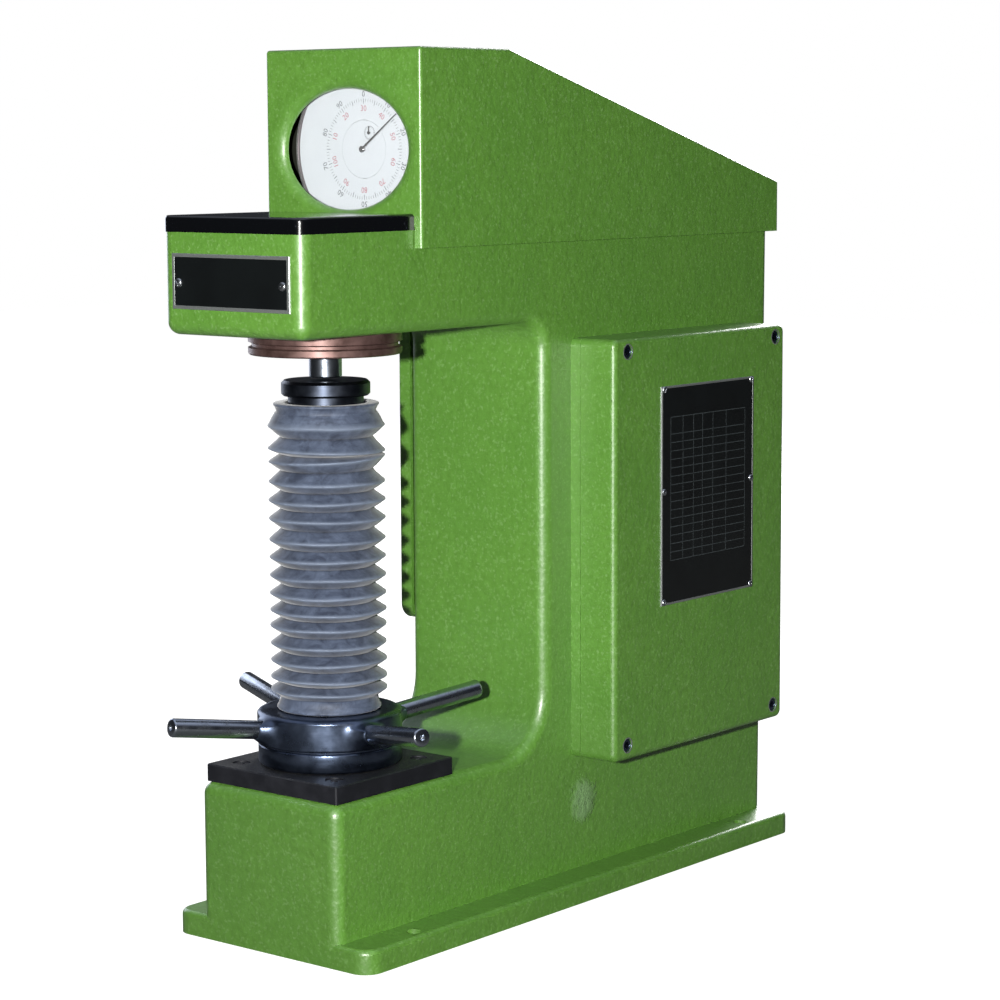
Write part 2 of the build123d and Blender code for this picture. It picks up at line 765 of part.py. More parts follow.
# Large side cover with four socket screws
with BuildPart() as side_cover:
    side_panel((boss_face_x + 0.3, cover_face_x), cover_y, cover_z, corner_r=6)
    fillet(side_cover.faces().sort_by(Axis.X)[-1].outer_wire().edges(), radius=4.5)
    side_panel(
        (boss_face_x + 0.3, cover_face_x - 4),
        (cover_y[0] + 4, cover_y[1] - 4),
        (cover_z[0] + 4, cover_z[1] - 4),
        4,
        Mode.SUBTRACT,
    )
    for screw_y in cover_screw_y:
        for screw_z in cover_screw_z:
            crosswise(boss_face_x + 0.3, cover_face_x - 4, 9, screw_y, screw_z)
            crosswise(boss_face_x, cover_face_x, 3 + fit, screw_y, screw_z, Mode.SUBTRACT)
            crosswise(cover_face_x - 7, cover_face_x, 5.4, screw_y, screw_z, Mode.SUBTRACT)
side_cover.part.label = "side_cover"
export_step(side_cover.part, "parts/side_cover.step")

with BuildPart() as cover_screws:
    for screw_y in cover_screw_y:
        for screw_z in cover_screw_z:
            crosswise(cover_face_x - 7, cover_face_x - 1, 5.1, screw_y, screw_z)
            crosswise(body_half, cover_face_x - 7, 3, screw_y, screw_z)
            with BuildSketch(Plane.YZ.offset(cover_face_x - 1)) as socket:
                with Locations((screw_y, screw_z)):
                    RegularPolygon(2.9, 6)
            extrude(amount=-3.5, mode=Mode.SUBTRACT)
cover_screws.part.label = "cover_screws"
export_step(cover_screws.part, "parts/cover_screws.step")

with BuildPart() as spec_plate:
    side_panel((cover_face_x, cover_face_x + plate_thick), spec_y, spec_z, corner_r=1.5)
spec_plate.part.label = "spec_plate"
export_step(spec_plate.part, "parts/spec_plate.step")

with BuildPart() as front_plate:
    with BuildSketch(Plane.XZ.offset(-head_front)) as front_plate_outline:
        with Locations((0, (front_plate_z[0] + front_plate_z[1]) / 2)):
            RectangleRounded(2 * front_plate_x, front_plate_z[1] - front_plate_z[0], 1)
    extrude(amount=plate_thick)
front_plate.part.label = "front_plate"
export_step(front_plate.part, "parts/front_plate.step")

# Round-headed screws of both plates
with BuildPart() as plate_rivets:
    for screw_y in spec_screw_y:
        for screw_z in spec_screw_z:
            crosswise(cover_face_x + plate_thick, cover_face_x + plate_thick + 1.5, 2.6, screw_y, screw_z)
    for screw_x in (-49.0, 49.0):
        lengthwise(
            head_front - plate_thick - 1.8,
            head_front - plate_thick,
            3.2,
            screw_x,
            (front_plate_z[0] + front_plate_z[1]) / 2 - 1,
        )
plate_rivets.part.label = "plate_rivets"
export_step(plate_rivets.part, "parts/plate_rivets.step")

# Tray-shaped top cover of the head, its rear lip tucked under the hood
with BuildPart() as head_cover:
    with BuildSketch(Plane.XY.offset(head_top)) as tray_outline:
        with BuildLine():
            Polyline(
                (-tray_half, hood_front - 0.2),
                (-tray_half, tray_front),
                (tray_half, tray_front),
                (tray_half, hood_front - 0.2),
                close=True,
            )
        make_face()
        fillet(tray_outline.vertices().group_by(Axis.Y)[0], radius=casting_edge_r)
    extrude(amount=tray_top - head_top)
    fillet(
        head_cover.faces().sort_by(Axis.Z)[-1].outer_wire().edges().sort_by(Axis.Y)[:-1],
        radius=2.5,
    )
    slab(
        (-tray_half + 6, tray_half - 6),
        (tray_front + 6, hood_front - 6),
        (head_top, tray_top - 4),
        Mode.SUBTRACT,
        corner_r=4,
    )
    slab((-tray_half, tray_half), (hood_front - 0.2, hood_front + 4), (head_top, head_top + 2))
head_cover.part.label = "head_cover"
export_step(head_cover.part, "parts/head_cover.step")

# Sheet hood, folded, open underneath, with the dial opening in front
with BuildPart() as hood:
    hood_outer = (
        (hood_front, hood_low),
        (hood_front, hood_high),
        (hood_ridge_y, hood_high),
        (hood_rear, hood_rear_high),
        (hood_rear, hood_low),
    )
    side_profile(hood_outer, hood_half)
    fillet(
        hood.edges().filter_by(lambda edge: edge.center().Z > hood_low + 1),
        radius=2.5,
    )
    hood_inner = (
        (hood_front + sheet, hood_low - 1),
        (hood_front + sheet, hood_high - sheet),
        (hood_ridge_y - 0.3, hood_high - sheet),
        (hood_rear - sheet, hood_rear_high - sheet - 0.4),
        (hood_rear - sheet, hood_low - 1),
    )
    side_profile(hood_inner, hood_half - sheet, Mode.SUBTRACT)
    slab((-tray_half - 0.3, tray_half + 0.3), (hood_front - 1, hood_front + 3), (490, head_top + 2.3), Mode.SUBTRACT)
    for collar_shift, collar_mode in ((sheet, Mode.ADD), (0, Mode.SUBTRACT)):
        for collar_y, collar_out in ((0, 1.0), (0.8, 0.7), (2.4, 0.25), (4.5, 0)):
            with BuildSketch(Plane.XZ.offset(-(hood_front + collar_y + collar_shift))):
                with Locations((dial_x, dial_z)):
                    Ellipse(
                        dial_opening_a + 10 * collar_out + collar_shift / 2,
                        dial_opening_b + 6.5 * collar_out + collar_shift / 2,
                    )
        loft(mode=collar_mode)
    with BuildSketch(Plane.XZ.offset(-(hood_front - 1))) as dial_window:
        with Locations((dial_x, dial_z)):
            Ellipse(dial_opening_a, dial_opening_b)
    extrude(amount=-12, mode=Mode.SUBTRACT)
hood.part.label = "hood"
export_step(hood.part, "parts/hood.step")

with BuildPart() as hood_rails:
    for rail_side in (-1, 1):
        rail_x = sorted((rail_side * body_half, rail_side * (hood_half - sheet)))
        slab(rail_x, (hood_front + 25, rear_high - 20), (hood_low + 2, head_top - 1))
hood_rails.part.label = "hood_rails"
export_step(hood_rails.part, "parts/hood_rails.step")

with BuildPart() as hood_screws:
    for screw_x in (-45.0, 45.0):
        lengthwise(hood_rear, hood_rear + 3, 5, screw_x, hood_low + 6)
hood_screws.part.label = "hood_screws"
export_step(hood_screws.part, "parts/hood_screws.step")

# Dial indicator behind the opening: its outer face turns with the bezel, its centre stays
with BuildPart() as dial_bracket:
    slab((-body_half + 1, body_half - 1), (case_rear, case_rear + 18), (head_top, head_top + 7))
    slab((dial_x - 16, dial_x + 16), (case_rear, case_rear + 4), (head_top, dial_z + 16))
dial_bracket.part.label = "dial_bracket"
export_step(dial_bracket.part, "parts/dial_bracket.step")

with BuildPart() as dial_case:
    lengthwise(dial_face_y + 4, case_rear, case_r, dial_x, dial_z)
    chamfer(dial_case.faces().sort_by(Axis.Y)[-1].outer_wire().edges(), length=3)
    lengthwise(dial_face_y + 4, case_rear - 2, case_r - 2, dial_x, dial_z, Mode.SUBTRACT)
    upright(dial_z - case_r - 8, dial_z - case_r + 6, 6, x=dial_x, y=plunger_y)
    upright(dial_z - case_r - 9, dial_z - case_r + 7, 3 + fit, Mode.SUBTRACT, dial_x, plunger_y)
dial_case.part.label = "dial_case"
export_step(dial_case.part, "parts/dial_case.step")

with BuildPart() as dial_bezel:
    lengthwise(dial_face_y - 8, dial_face_y + 10, bezel_r, dial_x, dial_z)
    chamfer(dial_bezel.faces().sort_by(Axis.Y)[0].outer_wire().edges(), length=1.5)
    lengthwise(dial_face_y - 9, dial_face_y + 3.8, dial_face_r, dial_x, dial_z, Mode.SUBTRACT)
    lengthwise(dial_face_y + 3.8, dial_face_y + 10, case_r + 0.3, dial_x, dial_z, Mode.SUBTRACT)
    lengthwise(dial_face_y - 6, dial_face_y - 4.5, dial_face_r + 2, dial_x, dial_z, Mode.SUBTRACT)
dial_bezel.part.label = "dial_bezel"
export_step(dial_bezel.part, "parts/dial_bezel.step")

with BuildPart() as dial_crystal:
    lengthwise(dial_face_y - 6, dial_face_y - 4.5, dial_face_r + 2 - fit, dial_x, dial_z)
dial_crystal.part.label = "dial_crystal"
export_step(dial_crystal.part, "parts/dial_crystal.step")

small_dial_x = dial_x + 5.5
small_dial_z = dial_z + 11.5
with BuildPart() as dial_face:
    lengthwise(dial_face_y, dial_face_y + 1.2, dial_face_r - fit, dial_x, dial_z)
    lengthwise(dial_face_y, dial_face_y + 1.2, dial_centre_r + 0.2, dial_x, dial_z, Mode.SUBTRACT)
dial_face.part.label = "dial_face"
export_step(dial_face.part, "parts/dial_face.step")

with BuildPart() as dial_centre:
    lengthwise(dial_face_y, dial_face_y + 1.2, dial_centre_r, dial_x, dial_z)
    lengthwise(dial_face_y, case_rear - 2, 9.5, dial_x, dial_z)
    lengthwise(dial_face_y, case_rear - 2, 1.4 + fit, dial_x, dial_z, Mode.SUBTRACT)
    lengthwise(dial_face_y, case_rear - 2, 0.8 + fit, small_dial_x, small_dial_z, Mode.SUBTRACT)
dial_centre.part.label = "dial_centre"
export_step(dial_centre.part, "parts/dial_centre.step")

pointer_turn = 53.0
pointer_reach = 41.0


def hand(x, z, y_front, thick, reach, half, turn, hub_r):
    along = (cos(radians(90 - turn)), sin(radians(90 - turn)))
    across = (-along[1], along[0])
    ends = ((-0.25 * reach, half), (-0.25 * reach, -half), (reach, -0.25), (reach, 0.25))
    corners = [
        (x + run * along[0] + side * across[0], z + run * along[1] + side * across[1])
        for run, side in ends
    ]
    with BuildSketch(Plane.XZ.offset(-y_front - thick)) as blade:
        with BuildLine():
            Polyline(*corners, close=True)
        make_face()
        with Locations((x, z)):
            Circle(hub_r)
    extrude(blade.sketch, amount=thick)


with BuildPart() as dial_pointer:
    hand(dial_x, dial_z, dial_face_y - 3, 0.6, pointer_reach, 1.1, pointer_turn, 3)
    lengthwise(dial_face_y - 3, plunger_y - 7, 1.4, dial_x, dial_z)
dial_pointer.part.label = "dial_pointer"
export_step(dial_pointer.part, "parts/dial_pointer.step")

with BuildPart() as small_pointer:
    hand(small_dial_x, small_dial_z, dial_face_y - 1.4, 0.5, 4.6, 0.5, 0, 1.2)
    lengthwise(dial_face_y - 1.4, dial_face_y + 6, 0.8, small_dial_x, small_dial_z)
small_pointer.part.label = "small_pointer"
export_step(small_pointer.part, "parts/small_pointer.step")

with BuildPart() as dial_plunger:
    upright(lever_high + 0.6, dial_z - case_r + 12, 3, x=dial_x, y=plunger_y)
dial_plunger.part.label = "dial_plunger"
export_step(dial_plunger.part, "parts/dial_plunger.step")
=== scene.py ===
import json
from math import atan2, cos, hypot, pi, radians, sin, sqrt, tan

import bmesh
import bpy
from mathutils import Matrix, Vector, noise


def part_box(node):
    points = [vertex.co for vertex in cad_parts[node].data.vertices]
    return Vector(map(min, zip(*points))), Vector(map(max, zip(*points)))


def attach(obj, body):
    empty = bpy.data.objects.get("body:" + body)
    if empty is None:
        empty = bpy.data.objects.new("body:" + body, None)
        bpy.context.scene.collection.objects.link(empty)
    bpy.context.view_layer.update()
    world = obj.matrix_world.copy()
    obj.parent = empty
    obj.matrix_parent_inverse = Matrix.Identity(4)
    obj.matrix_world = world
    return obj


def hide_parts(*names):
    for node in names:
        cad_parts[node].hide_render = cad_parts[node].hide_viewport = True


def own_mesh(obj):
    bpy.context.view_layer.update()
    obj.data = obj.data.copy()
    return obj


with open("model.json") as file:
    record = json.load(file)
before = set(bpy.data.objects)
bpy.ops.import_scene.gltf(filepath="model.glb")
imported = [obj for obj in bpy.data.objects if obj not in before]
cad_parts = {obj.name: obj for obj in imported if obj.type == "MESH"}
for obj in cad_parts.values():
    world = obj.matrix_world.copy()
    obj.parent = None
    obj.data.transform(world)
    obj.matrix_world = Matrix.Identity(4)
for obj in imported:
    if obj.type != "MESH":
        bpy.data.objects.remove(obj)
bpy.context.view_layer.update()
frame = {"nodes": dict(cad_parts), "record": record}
nodes = frame["nodes"]
mm = 0.001
print("frame:", len(nodes), "nodes")

# The screw axis and the middle of the dial are read from the frame
anvilLow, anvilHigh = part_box("anvil")
axisX = 0.0
axisY = (anvilLow.y + anvilHigh.y) / 2
faceLow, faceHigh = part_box("dial_face")
dialX = (faceLow.x + faceHigh.x) / 2
dialZ = (faceLow.z + faceHigh.z) / 2

cameraView = {
    "target": Vector((0.04987, -0.06405, 0.30706)), "distance": 2.0831, "azimuth": 39.022,
    "elevation": 7.276, "roll": -0.260, "lens": 101.64, "sensor": 36.0,
}


def aim(azimuth, elevation, roll=0.0):
    # Angles in degrees; azimuth 0 looks along +Y
    a, e, r = radians(azimuth), radians(elevation), radians(roll)
    back = Vector((sin(a) * cos(e), -cos(a) * cos(e), sin(e)))
    right = Vector((cos(a), sin(a), 0))
    up = back.cross(right)
    turned = (right * cos(r) + up * sin(r), up * cos(r) - right * sin(r), back)
    return Matrix(turned).transposed(), back


def newObject(name, data):
    thing = bpy.data.objects.new(name, data)
    bpy.context.scene.collection.objects.link(thing)
    return thing


def placeCamera(view):
    turn, back = aim(view["azimuth"], view["elevation"], view["roll"])
    data = bpy.data.cameras.new("camera")
    data.lens = view["lens"]
    data.sensor_width = view["sensor"]
    camera = newObject("camera", data)
    place = view["target"] + back * view["distance"]
    camera.matrix_world = Matrix.Translation(place) @ turn.to_4x4()
    bpy.context.scene.camera = camera


def hexColor(text):
    values = [int(text[i : i + 2], 16) / 255 for i in (0, 2, 4)]
    linear = [v / 12.92 if v <= 0.04045 else ((v + 0.055) / 1.055) ** 2.4 for v in values]
    return (*linear, 1.0)


def addNode(tree, kind, settings=None, links=None):
    # A link comes from a socket, or from a node, which then gives its first output in use
    node = tree.nodes.new("ShaderNode" + kind)
    for key, value in (settings or {}).items():
        if isinstance(key, int) or key in node.inputs:
            node.inputs[key].default_value = value
        else:
            setattr(node, key, value)
    for key, source in (links or {}).items():
        if isinstance(source, bpy.types.Node):
            source = [socket for socket in source.outputs if socket.enabled][0]
        tree.links.new(source, node.inputs[key])
    return node


# One small hard lamp just left of the camera does most of the work, and soft ones light the far side,
# the tops and the back. Distances and sizes in metres, power in watts
lights = {
    "key": {"azimuth": 33, "elevation": 8, "distance": 2.08, "size": 0.045, "power": 71, "colour": "FFFEFA"},
    "left": {"azimuth": -102, "elevation": 12, "distance": 1.8, "size": 0.9, "power": 7, "colour": "EAF1FF"},
    "top": {"azimuth": 60, "elevation": 70, "distance": 2.2, "size": 1.2, "power": 1.2, "colour": "E4ECFF"},
    "rear": {"azimuth": 200, "elevation": 20, "distance": 3.4, "size": 1.4, "power": 95, "colour": "FFFFFF"},
}


def placeLights():
    for name, light in lights.items():
        turn, back = aim(light["azimuth"], light["elevation"])
        data = bpy.data.lights.new(name, "AREA")
        data.size = light["size"]
        data.energy = light["power"]
        data.color = hexColor(light["colour"])[:3]
        lamp = newObject(name, data)
        place = cameraView["target"] + back * light["distance"]
        lamp.matrix_world = Matrix.Translation(place) @ turn.to_4x4()


studio = {
    "roomLight": 0.028, "roomColour": "F2F6FF", "wallSheen": 0.035, "ceilingSheen": 0.75,
    "ceilingColour": "E4ECFF", "ceilingFrom": 0.45, "ceilingFull": 0.92, "floorSize": 12.0,
    "floorDrop": 0.4 * mm, "floorNear": 0.90, "floorFar": 1.0, "floorFade": (0.35, 1.1), "floorTone": 0.45,
    "floorDull": 0.16,
}


def buildRoom():
    # White to the eye and dim in what it lights; reflections find dark walls and a pale ceiling
    world = bpy.data.worlds.new("studio")
    bpy.context.scene.world = world
    world.use_nodes = True
    tree = world.node_tree
    tree.nodes.clear()
    path = addNode(tree, "LightPath")
    height = addNode(tree, "SeparateXYZ", links={0: addNode(tree, "TexCoord").outputs["Generated"]})
    ceiling = addNode(
        tree, "MapRange",
        {
            "interpolation_type": "SMOOTHSTEP",
            "From Min": studio["ceilingFrom"], "From Max": studio["ceilingFull"],
            "To Min": studio["wallSheen"], "To Max": studio["ceilingSheen"],
        },
        {"Value": height.outputs["Z"]},
    )
    room = addNode(
        tree, "Background", {"Color": hexColor(studio["roomColour"]), "Strength": studio["roomLight"]}
    )
    sheen = addNode(tree, "Background", {"Color": hexColor(studio["ceilingColour"])}, {"Strength": ceiling})
    white = addNode(tree, "Background", {"Color": (1, 1, 1, 1), "Strength": 1.0})
    around = addNode(tree, "MixShader", links={0: path.outputs["Is Glossy Ray"], 1: room, 2: sheen})
    mix = addNode(tree, "MixShader", links={0: path.outputs["Is Camera Ray"], 1: around, 2: white})
    addNode(tree, "OutputWorld", links={"Surface": mix})


def buildFloor():
    # Near white to the eye, white further off, and duller in what it sends back to the object
    material = bpy.data.materials.new("paleFloor")
    material.use_nodes = True
    tree = material.node_tree
    tree.nodes.clear()
    path = addNode(tree, "LightPath")
    away = addNode(
        tree, "VectorMath", {"operation": "LENGTH"}, {0: addNode(tree, "TexCoord").outputs["Object"]}
    )
    fade = addNode(
        tree, "MapRange",
        {
            "From Min": studio["floorFade"][0], "From Max": studio["floorFade"][1],
            "To Min": studio["floorNear"], "To Max": studio["floorFar"],
        },
        {"Value": away},
    )
    glow = addNode(tree, "Emission", {"Color": (1, 1, 1, 1)}, {"Strength": fade})
    paint = addNode(tree, "BsdfDiffuse", {"Color": (studio["floorTone"],) * 3 + (1,)})
    dull = addNode(tree, "BsdfDiffuse", {"Color": (studio["floorDull"],) * 3 + (1,)})
    seen = addNode(tree, "AddShader", links={0: glow, 1: paint})
    mix = addNode(tree, "MixShader", links={0: path.outputs["Is Camera Ray"], 1: dull, 2: seen})
    addNode(tree, "OutputMaterial", links={"Surface": mix})

    half = studio["floorSize"] / 2
    corners = [(-half, -half), (half, -half), (half, half), (-half, half)]
    mesh = bpy.data.meshes.new("floor")
    mesh.from_pydata([(x, y, -studio["floorDrop"]) for x, y in corners], [], [(0, 1, 2, 3)])
    mesh.materials.append(material)
    floor = newObject("floor", mesh)


placeCamera(cameraView)
placeLights()
buildRoom()
buildFloor()
bpy.context.scene.view_settings.view_transform = "Standard"
print("camera, lights and floor placed")


def startMaterial(name):
    material = bpy.data.materials.new(name)
    material.use_nodes = True
    tree = material.node_tree
    tree.nodes.clear()
    place = addNode(tree, "TexCoord").outputs["Object"]
    return material, tree, place


def finishMaterial(material, settings, links):
    shader = addNode(material.node_tree, "BsdfPrincipled", settings, links)
    addNode(material.node_tree, "OutputMaterial", links={"Surface": shader})
    return material


def tint(tree, below, colour, pattern, limits=None):
    # Lays a colour over the one below, given as a colour or as a node, where the pattern is strong
    share = addNode(tree, "MapRange", limits, {"Value": pattern}) if limits else pattern
    settings, links = {"data_type": "RGBA", 7: hexColor(colour)}, {0: share}
    if isinstance(below, str):
        settings[6] = hexColor(below)
    else:
        links[6] = below
    return addNode(tree, "Mix", settings, links)


def toolLines(tree, place, sizes, strength, depth):
    # Fine lines left by a tool or by rolling; their sizes along X, Y and Z and their depth in mm
    stretch = addNode(tree, "Mapping", {"Scale": [1 / (size * mm) for size in sizes]}, {"Vector": place})
    lines = addNode(tree, "TexNoise", {"Scale": 1.0}, {"Vector": stretch})
    return addNode(tree, "Bump", {"Strength": strength, "Distance": depth * mm}, {"Height": lines})


# The filled chip on the base's side, lengths in mm
paintChip = {"middle": (66.3, 15.0, 68.5), "solid": 22, "fade": 31, "ragged": 26, "pale": 0.55}

# Painted shade on the faces towards the operator, darker towards the bottom: full up to "low", gone at
# "high", in mm
lowFrontShade = {"low": 100, "high": 190, "share": 0.30}


def hammeredEnamel():
    # Sprayed hammered stove enamel: orange-peel skin, 3 to 4 mm from dimple to dimple, half gloss, its
    # colour mottled where the paint pooled thick or thin, with pale flecks about 1.5 mm wide that are
    # painted glints off the orange peel, and painted shade low on the faces towards the operator
    material, tree, place = startMaterial("hammeredGreenEnamel")
    peel = addNode(
        tree, "TexNoise", {"Scale": 1 / (3.4 * mm), "Detail": 1.0, "Roughness": 0.4}, {"Vector": place}
    )
    wave = addNode(tree, "TexNoise", {"Scale": 1 / (24 * mm)}, {"Vector": place})
    pool = addNode(
        tree, "TexNoise", {"Scale": 1 / (5.5 * mm), "Detail": 2.5, "Roughness": 0.55}, {"Vector": place}
    )
    patch = addNode(tree, "TexNoise", {"Scale": 1 / (60 * mm)}, {"Vector": place})
    # Painted glints: pale flecks in the colour stand in for the orange peel catching the light
    glintNoise = addNode(tree, "TexNoise", {"Scale": 1 / (2.2 * mm), "Detail": 1.5}, {"Vector": place})
    mottled = tint(tree, "52802B", "5B8C35", pool, {"From Min": 0.32, "From Max": 0.70})
    tone = tint(tree, mottled, "4D7E2B", patch, {"From Min": 0.35, "From Max": 0.7, "To Max": 0.45})
    glinted = tint(tree, tone, "9FC487", glintNoise, {"From Min": 0.56, "From Max": 0.74, "To Max": 0.22})

    # Painted shade: the faces towards the operator are darkened low down
    facing = addNode(tree, "SeparateXYZ", links={0: addNode(tree, "NewGeometry").outputs["Normal"]})
    frontMask = addNode(
        tree, "MapRange", {"From Min": -0.35, "From Max": -0.95, "To Max": lowFrontShade["share"]},
        {"Value": facing.outputs["Y"]},
    )
    level = addNode(tree, "SeparateXYZ", links={0: place})
    lowMask = addNode(
        tree, "MapRange",
        {"From Min": lowFrontShade["low"] * mm, "From Max": lowFrontShade["high"] * mm, "To Min": 1, "To Max": 0},
        {"Value": level.outputs["Z"]},
    )
    lowShadeMask = addNode(tree, "Math", {"operation": "MULTIPLY"}, {0: frontMask, 1: lowMask})
    lowShaded = tint(tree, glinted, "1B2A12", lowShadeMask)

    # The chip: ragged edge, cratered and rubbed pale
    chipMiddle = tuple(v * mm for v in paintChip["middle"])
    fromChip = addNode(tree, "VectorMath", {"operation": "DISTANCE", 1: chipMiddle}, {0: place})
    ragged = addNode(
        tree, "TexNoise", {"Scale": 1 / (7 * mm), "Detail": 4.0, "Roughness": 0.7}, {"Vector": place}
    )
    reach = addNode(
        tree, "Math", {"operation": "MULTIPLY_ADD", 1: paintChip["ragged"] * mm}, {0: ragged, 2: fromChip}
    )
    chipMask = addNode(
        tree, "MapRange",
        {"From Min": paintChip["solid"] * mm, "From Max": paintChip["fade"] * mm, "To Min": 1, "To Max": 0},
        {"Value": reach},
    )
    rubbed = addNode(tree, "Math", {"operation": "MULTIPLY", 1: paintChip["pale"]}, {0: chipMask})
    colour = tint(tree, lowShaded, "86A87A", rubbed)
    skin = addNode(tree, "Math", {"operation": "MULTIPLY_ADD", 1: 2.0}, {0: wave, 2: peel})
    crater = addNode(tree, "Math", {"operation": "MULTIPLY"}, {0: chipMask, 1: ragged})
    height = addNode(tree, "Math", {"operation": "MULTIPLY_ADD", 1: 5.0}, {0: crater, 2: skin})
    bump = addNode(tree, "Bump", {"Strength": 0.8, "Distance": 0.55 * mm}, {"Height": height})
    return finishMaterial(
        material, {"Roughness": 0.48, "IOR": 1.55, "Coat Weight": 0.9, "Coat Roughness": 0.33},
        {"Base Color": colour, "Normal": bump},
    )


def blackEnamel():
    # Sprayed black enamel, wet gloss, with a few dust nibs in the paint
    material, tree, place = startMaterial("glossBlackEnamel")
    nib = addNode(tree, "TexVoronoi", {"Scale": 1 / (9 * mm)}, {"Vector": place})
    colour = tint(
        tree, "050608", "2A2E36", nib, {"From Min": 0.05, "From Max": 0.085, "To Min": 1.0, "To Max": 0.0}
    )
    skin = addNode(tree, "TexNoise", {"Scale": 1 / (6 * mm), "Detail": 1.0}, {"Vector": place})
    bump = addNode(tree, "Bump", {"Strength": 0.12, "Distance": 0.1 * mm}, {"Height": skin})
    return finishMaterial(
        material, {"Roughness": 0.16, "IOR": 1.5, "Coat Weight": 0.6, "Coat Roughness": 0.04},
        {"Base Color": colour, "Normal": bump},
    )


def blackOxide(name, colour, colourWorn, roughness, streak, dust, metal=1.0):
    # Blackened and oiled steel: near black, soft bluish sheen, faint turning lines about 0.8 mm apart,
    # and pale dust on what faces up
    material, tree, place = startMaterial(name)
    blotch = addNode(
        tree, "TexNoise", {"Scale": 1 / (14 * mm), "Detail": 4.0, "Roughness": 0.6}, {"Vector": place}
    )
    speck = addNode(
        tree, "TexNoise", {"Scale": 1 / (1.1 * mm), "Detail": 3.0, "Roughness": 0.7}, {"Vector": place}
    )
    speckMask = addNode(
        tree, "MapRange", {"From Min": 0.56, "From Max": 0.72, "To Max": dust}, {"Value": speck}
    )
    facing = addNode(tree, "SeparateXYZ", links={0: addNode(tree, "NewGeometry").outputs["Normal"]})
    upMask = addNode(tree, "MapRange", {"From Min": 0.5, "From Max": 0.95}, {"Value": facing.outputs["Z"]})
    dustMask = addNode(tree, "Math", {"operation": "MULTIPLY"}, {0: upMask, 1: speckMask})
    worn = tint(tree, colour, colourWorn, blotch, {"From Min": 0.45, "From Max": 0.9})
    dusty = tint(tree, worn, "8E9084", dustMask)
    sheen = addNode(
        tree, "MapRange",
        {"From Min": 0.3, "From Max": 0.7, "To Min": roughness - 0.06, "To Max": roughness + 0.08},
        {"Value": blotch},
    )
    bump = toolLines(tree, place, (25, 25, 0.8), streak, 0.05)
    return finishMaterial(
        material, {"Metallic": metal}, {"Base Color": dusty, "Roughness": sheen, "Normal": bump}
    )


def turnedSteel(name, colour, roughness, streak):
    # Turned and polished steel: bright streaks along the light, faint tool lines and a little grey
    # staining; streak is the tool lines' size along X, Y and Z in mm
    material, tree, place = startMaterial(name)
    stain = addNode(
        tree, "TexNoise", {"Scale": 1 / (9 * mm), "Detail": 4.0, "Roughness": 0.65}, {"Vector": place}
    )
    stained = tint(tree, colour, "7C8086", stain, {"From Min": 0.5, "From Max": 0.85})
    rough = addNode(
        tree, "MapRange",
        {"From Min": 0.3, "From Max": 0.7, "To Min": roughness - 0.05, "To Max": roughness + 0.08},
        {"Value": stain},
    )
    bump = toolLines(tree, place, streak, 0.15, 0.03)
    return finishMaterial(
        material, {"Metallic": 1.0}, {"Base Color": stained, "Roughness": rough, "Normal": bump}
    )


def lacqueredCopper():
    # Copper-brown lacquer over turned brass: warm, half gloss, with darker patches
    material, tree, place = startMaterial("lacqueredCopper")
    patch = addNode(
        tree, "TexNoise", {"Scale": 1 / (16 * mm), "Detail": 4.0, "Roughness": 0.6}, {"Vector": place}
    )
    colour = tint(tree, "7A605C", "4A3531", patch, {"From Min": 0.38, "From Max": 0.68})
    bump = toolLines(tree, place, (40, 40, 0.7), 0.25, 0.04)
    return finishMaterial(
        material, {"Metallic": 0.7, "Roughness": 0.46, "Coat Weight": 0.2, "Coat Roughness": 0.2},
        {"Base Color": colour, "Normal": bump},
    )


# The moulded bellows, in mm. Folds are the peaks' heights from the top down, and lean tilts a fold by its
# place in that list. Pairs are (radius, height) steps from the neck, the cuff or a fold's peak; an arc's
# three numbers are its start and end in degrees and its points; wave and shift place the noise
bellowsShape = {
    "folds": (371, 354, 347, 331, 318, 305, 290, 277, 264, 251, 239, 228, 215, 203, 191, 182), "peak": 41.6,
    "valley": 31.2, "flange": 37.6, "neck": 35.4, "cuff": 37.4, "bore": 29.6, "lean": {1: -1.2, 2: 2.0},
    "leanTo": 219, "wobble": 0.45, "sag": 0.7, "topLip": 1.1, "topNeck": ((0.0, -5.2), (0.3, -7.4)),
    "firstFoldBelow": 6.0, "lastFoldReach": 4.6, "lastNeck": 0.8, "closeFold": 12.0, "closeFill": 0.55,
    "crest": ((-0.15, 0.45), (0.0, 0.0), (-0.2, -0.5)),
    "upperFlank": {"stops": (0.4, 0.7, 0.9), "edge": 0.7, "outBow": 0.85, "upBow": 1.15},
    "lowerFlank": {"stops": (0.9, 0.65, 0.35, 0.1), "edge": 0.8, "outBow": 0.8, "upBow": 1.1},
    "firstStop": 0.12, "footNeck": ((-0.6, 9.0), (0.2, 5.4)), "footShoulder": (-1.0, 3.4), "footLip": 1.4,
    "steps": 120,
    "topArc": (90, -70, 6), "footArc": (40, -90, 5),
    "waveAround": 1.3, "waveAlong": 3.7, "sagShift": (9, 4, 2),
}


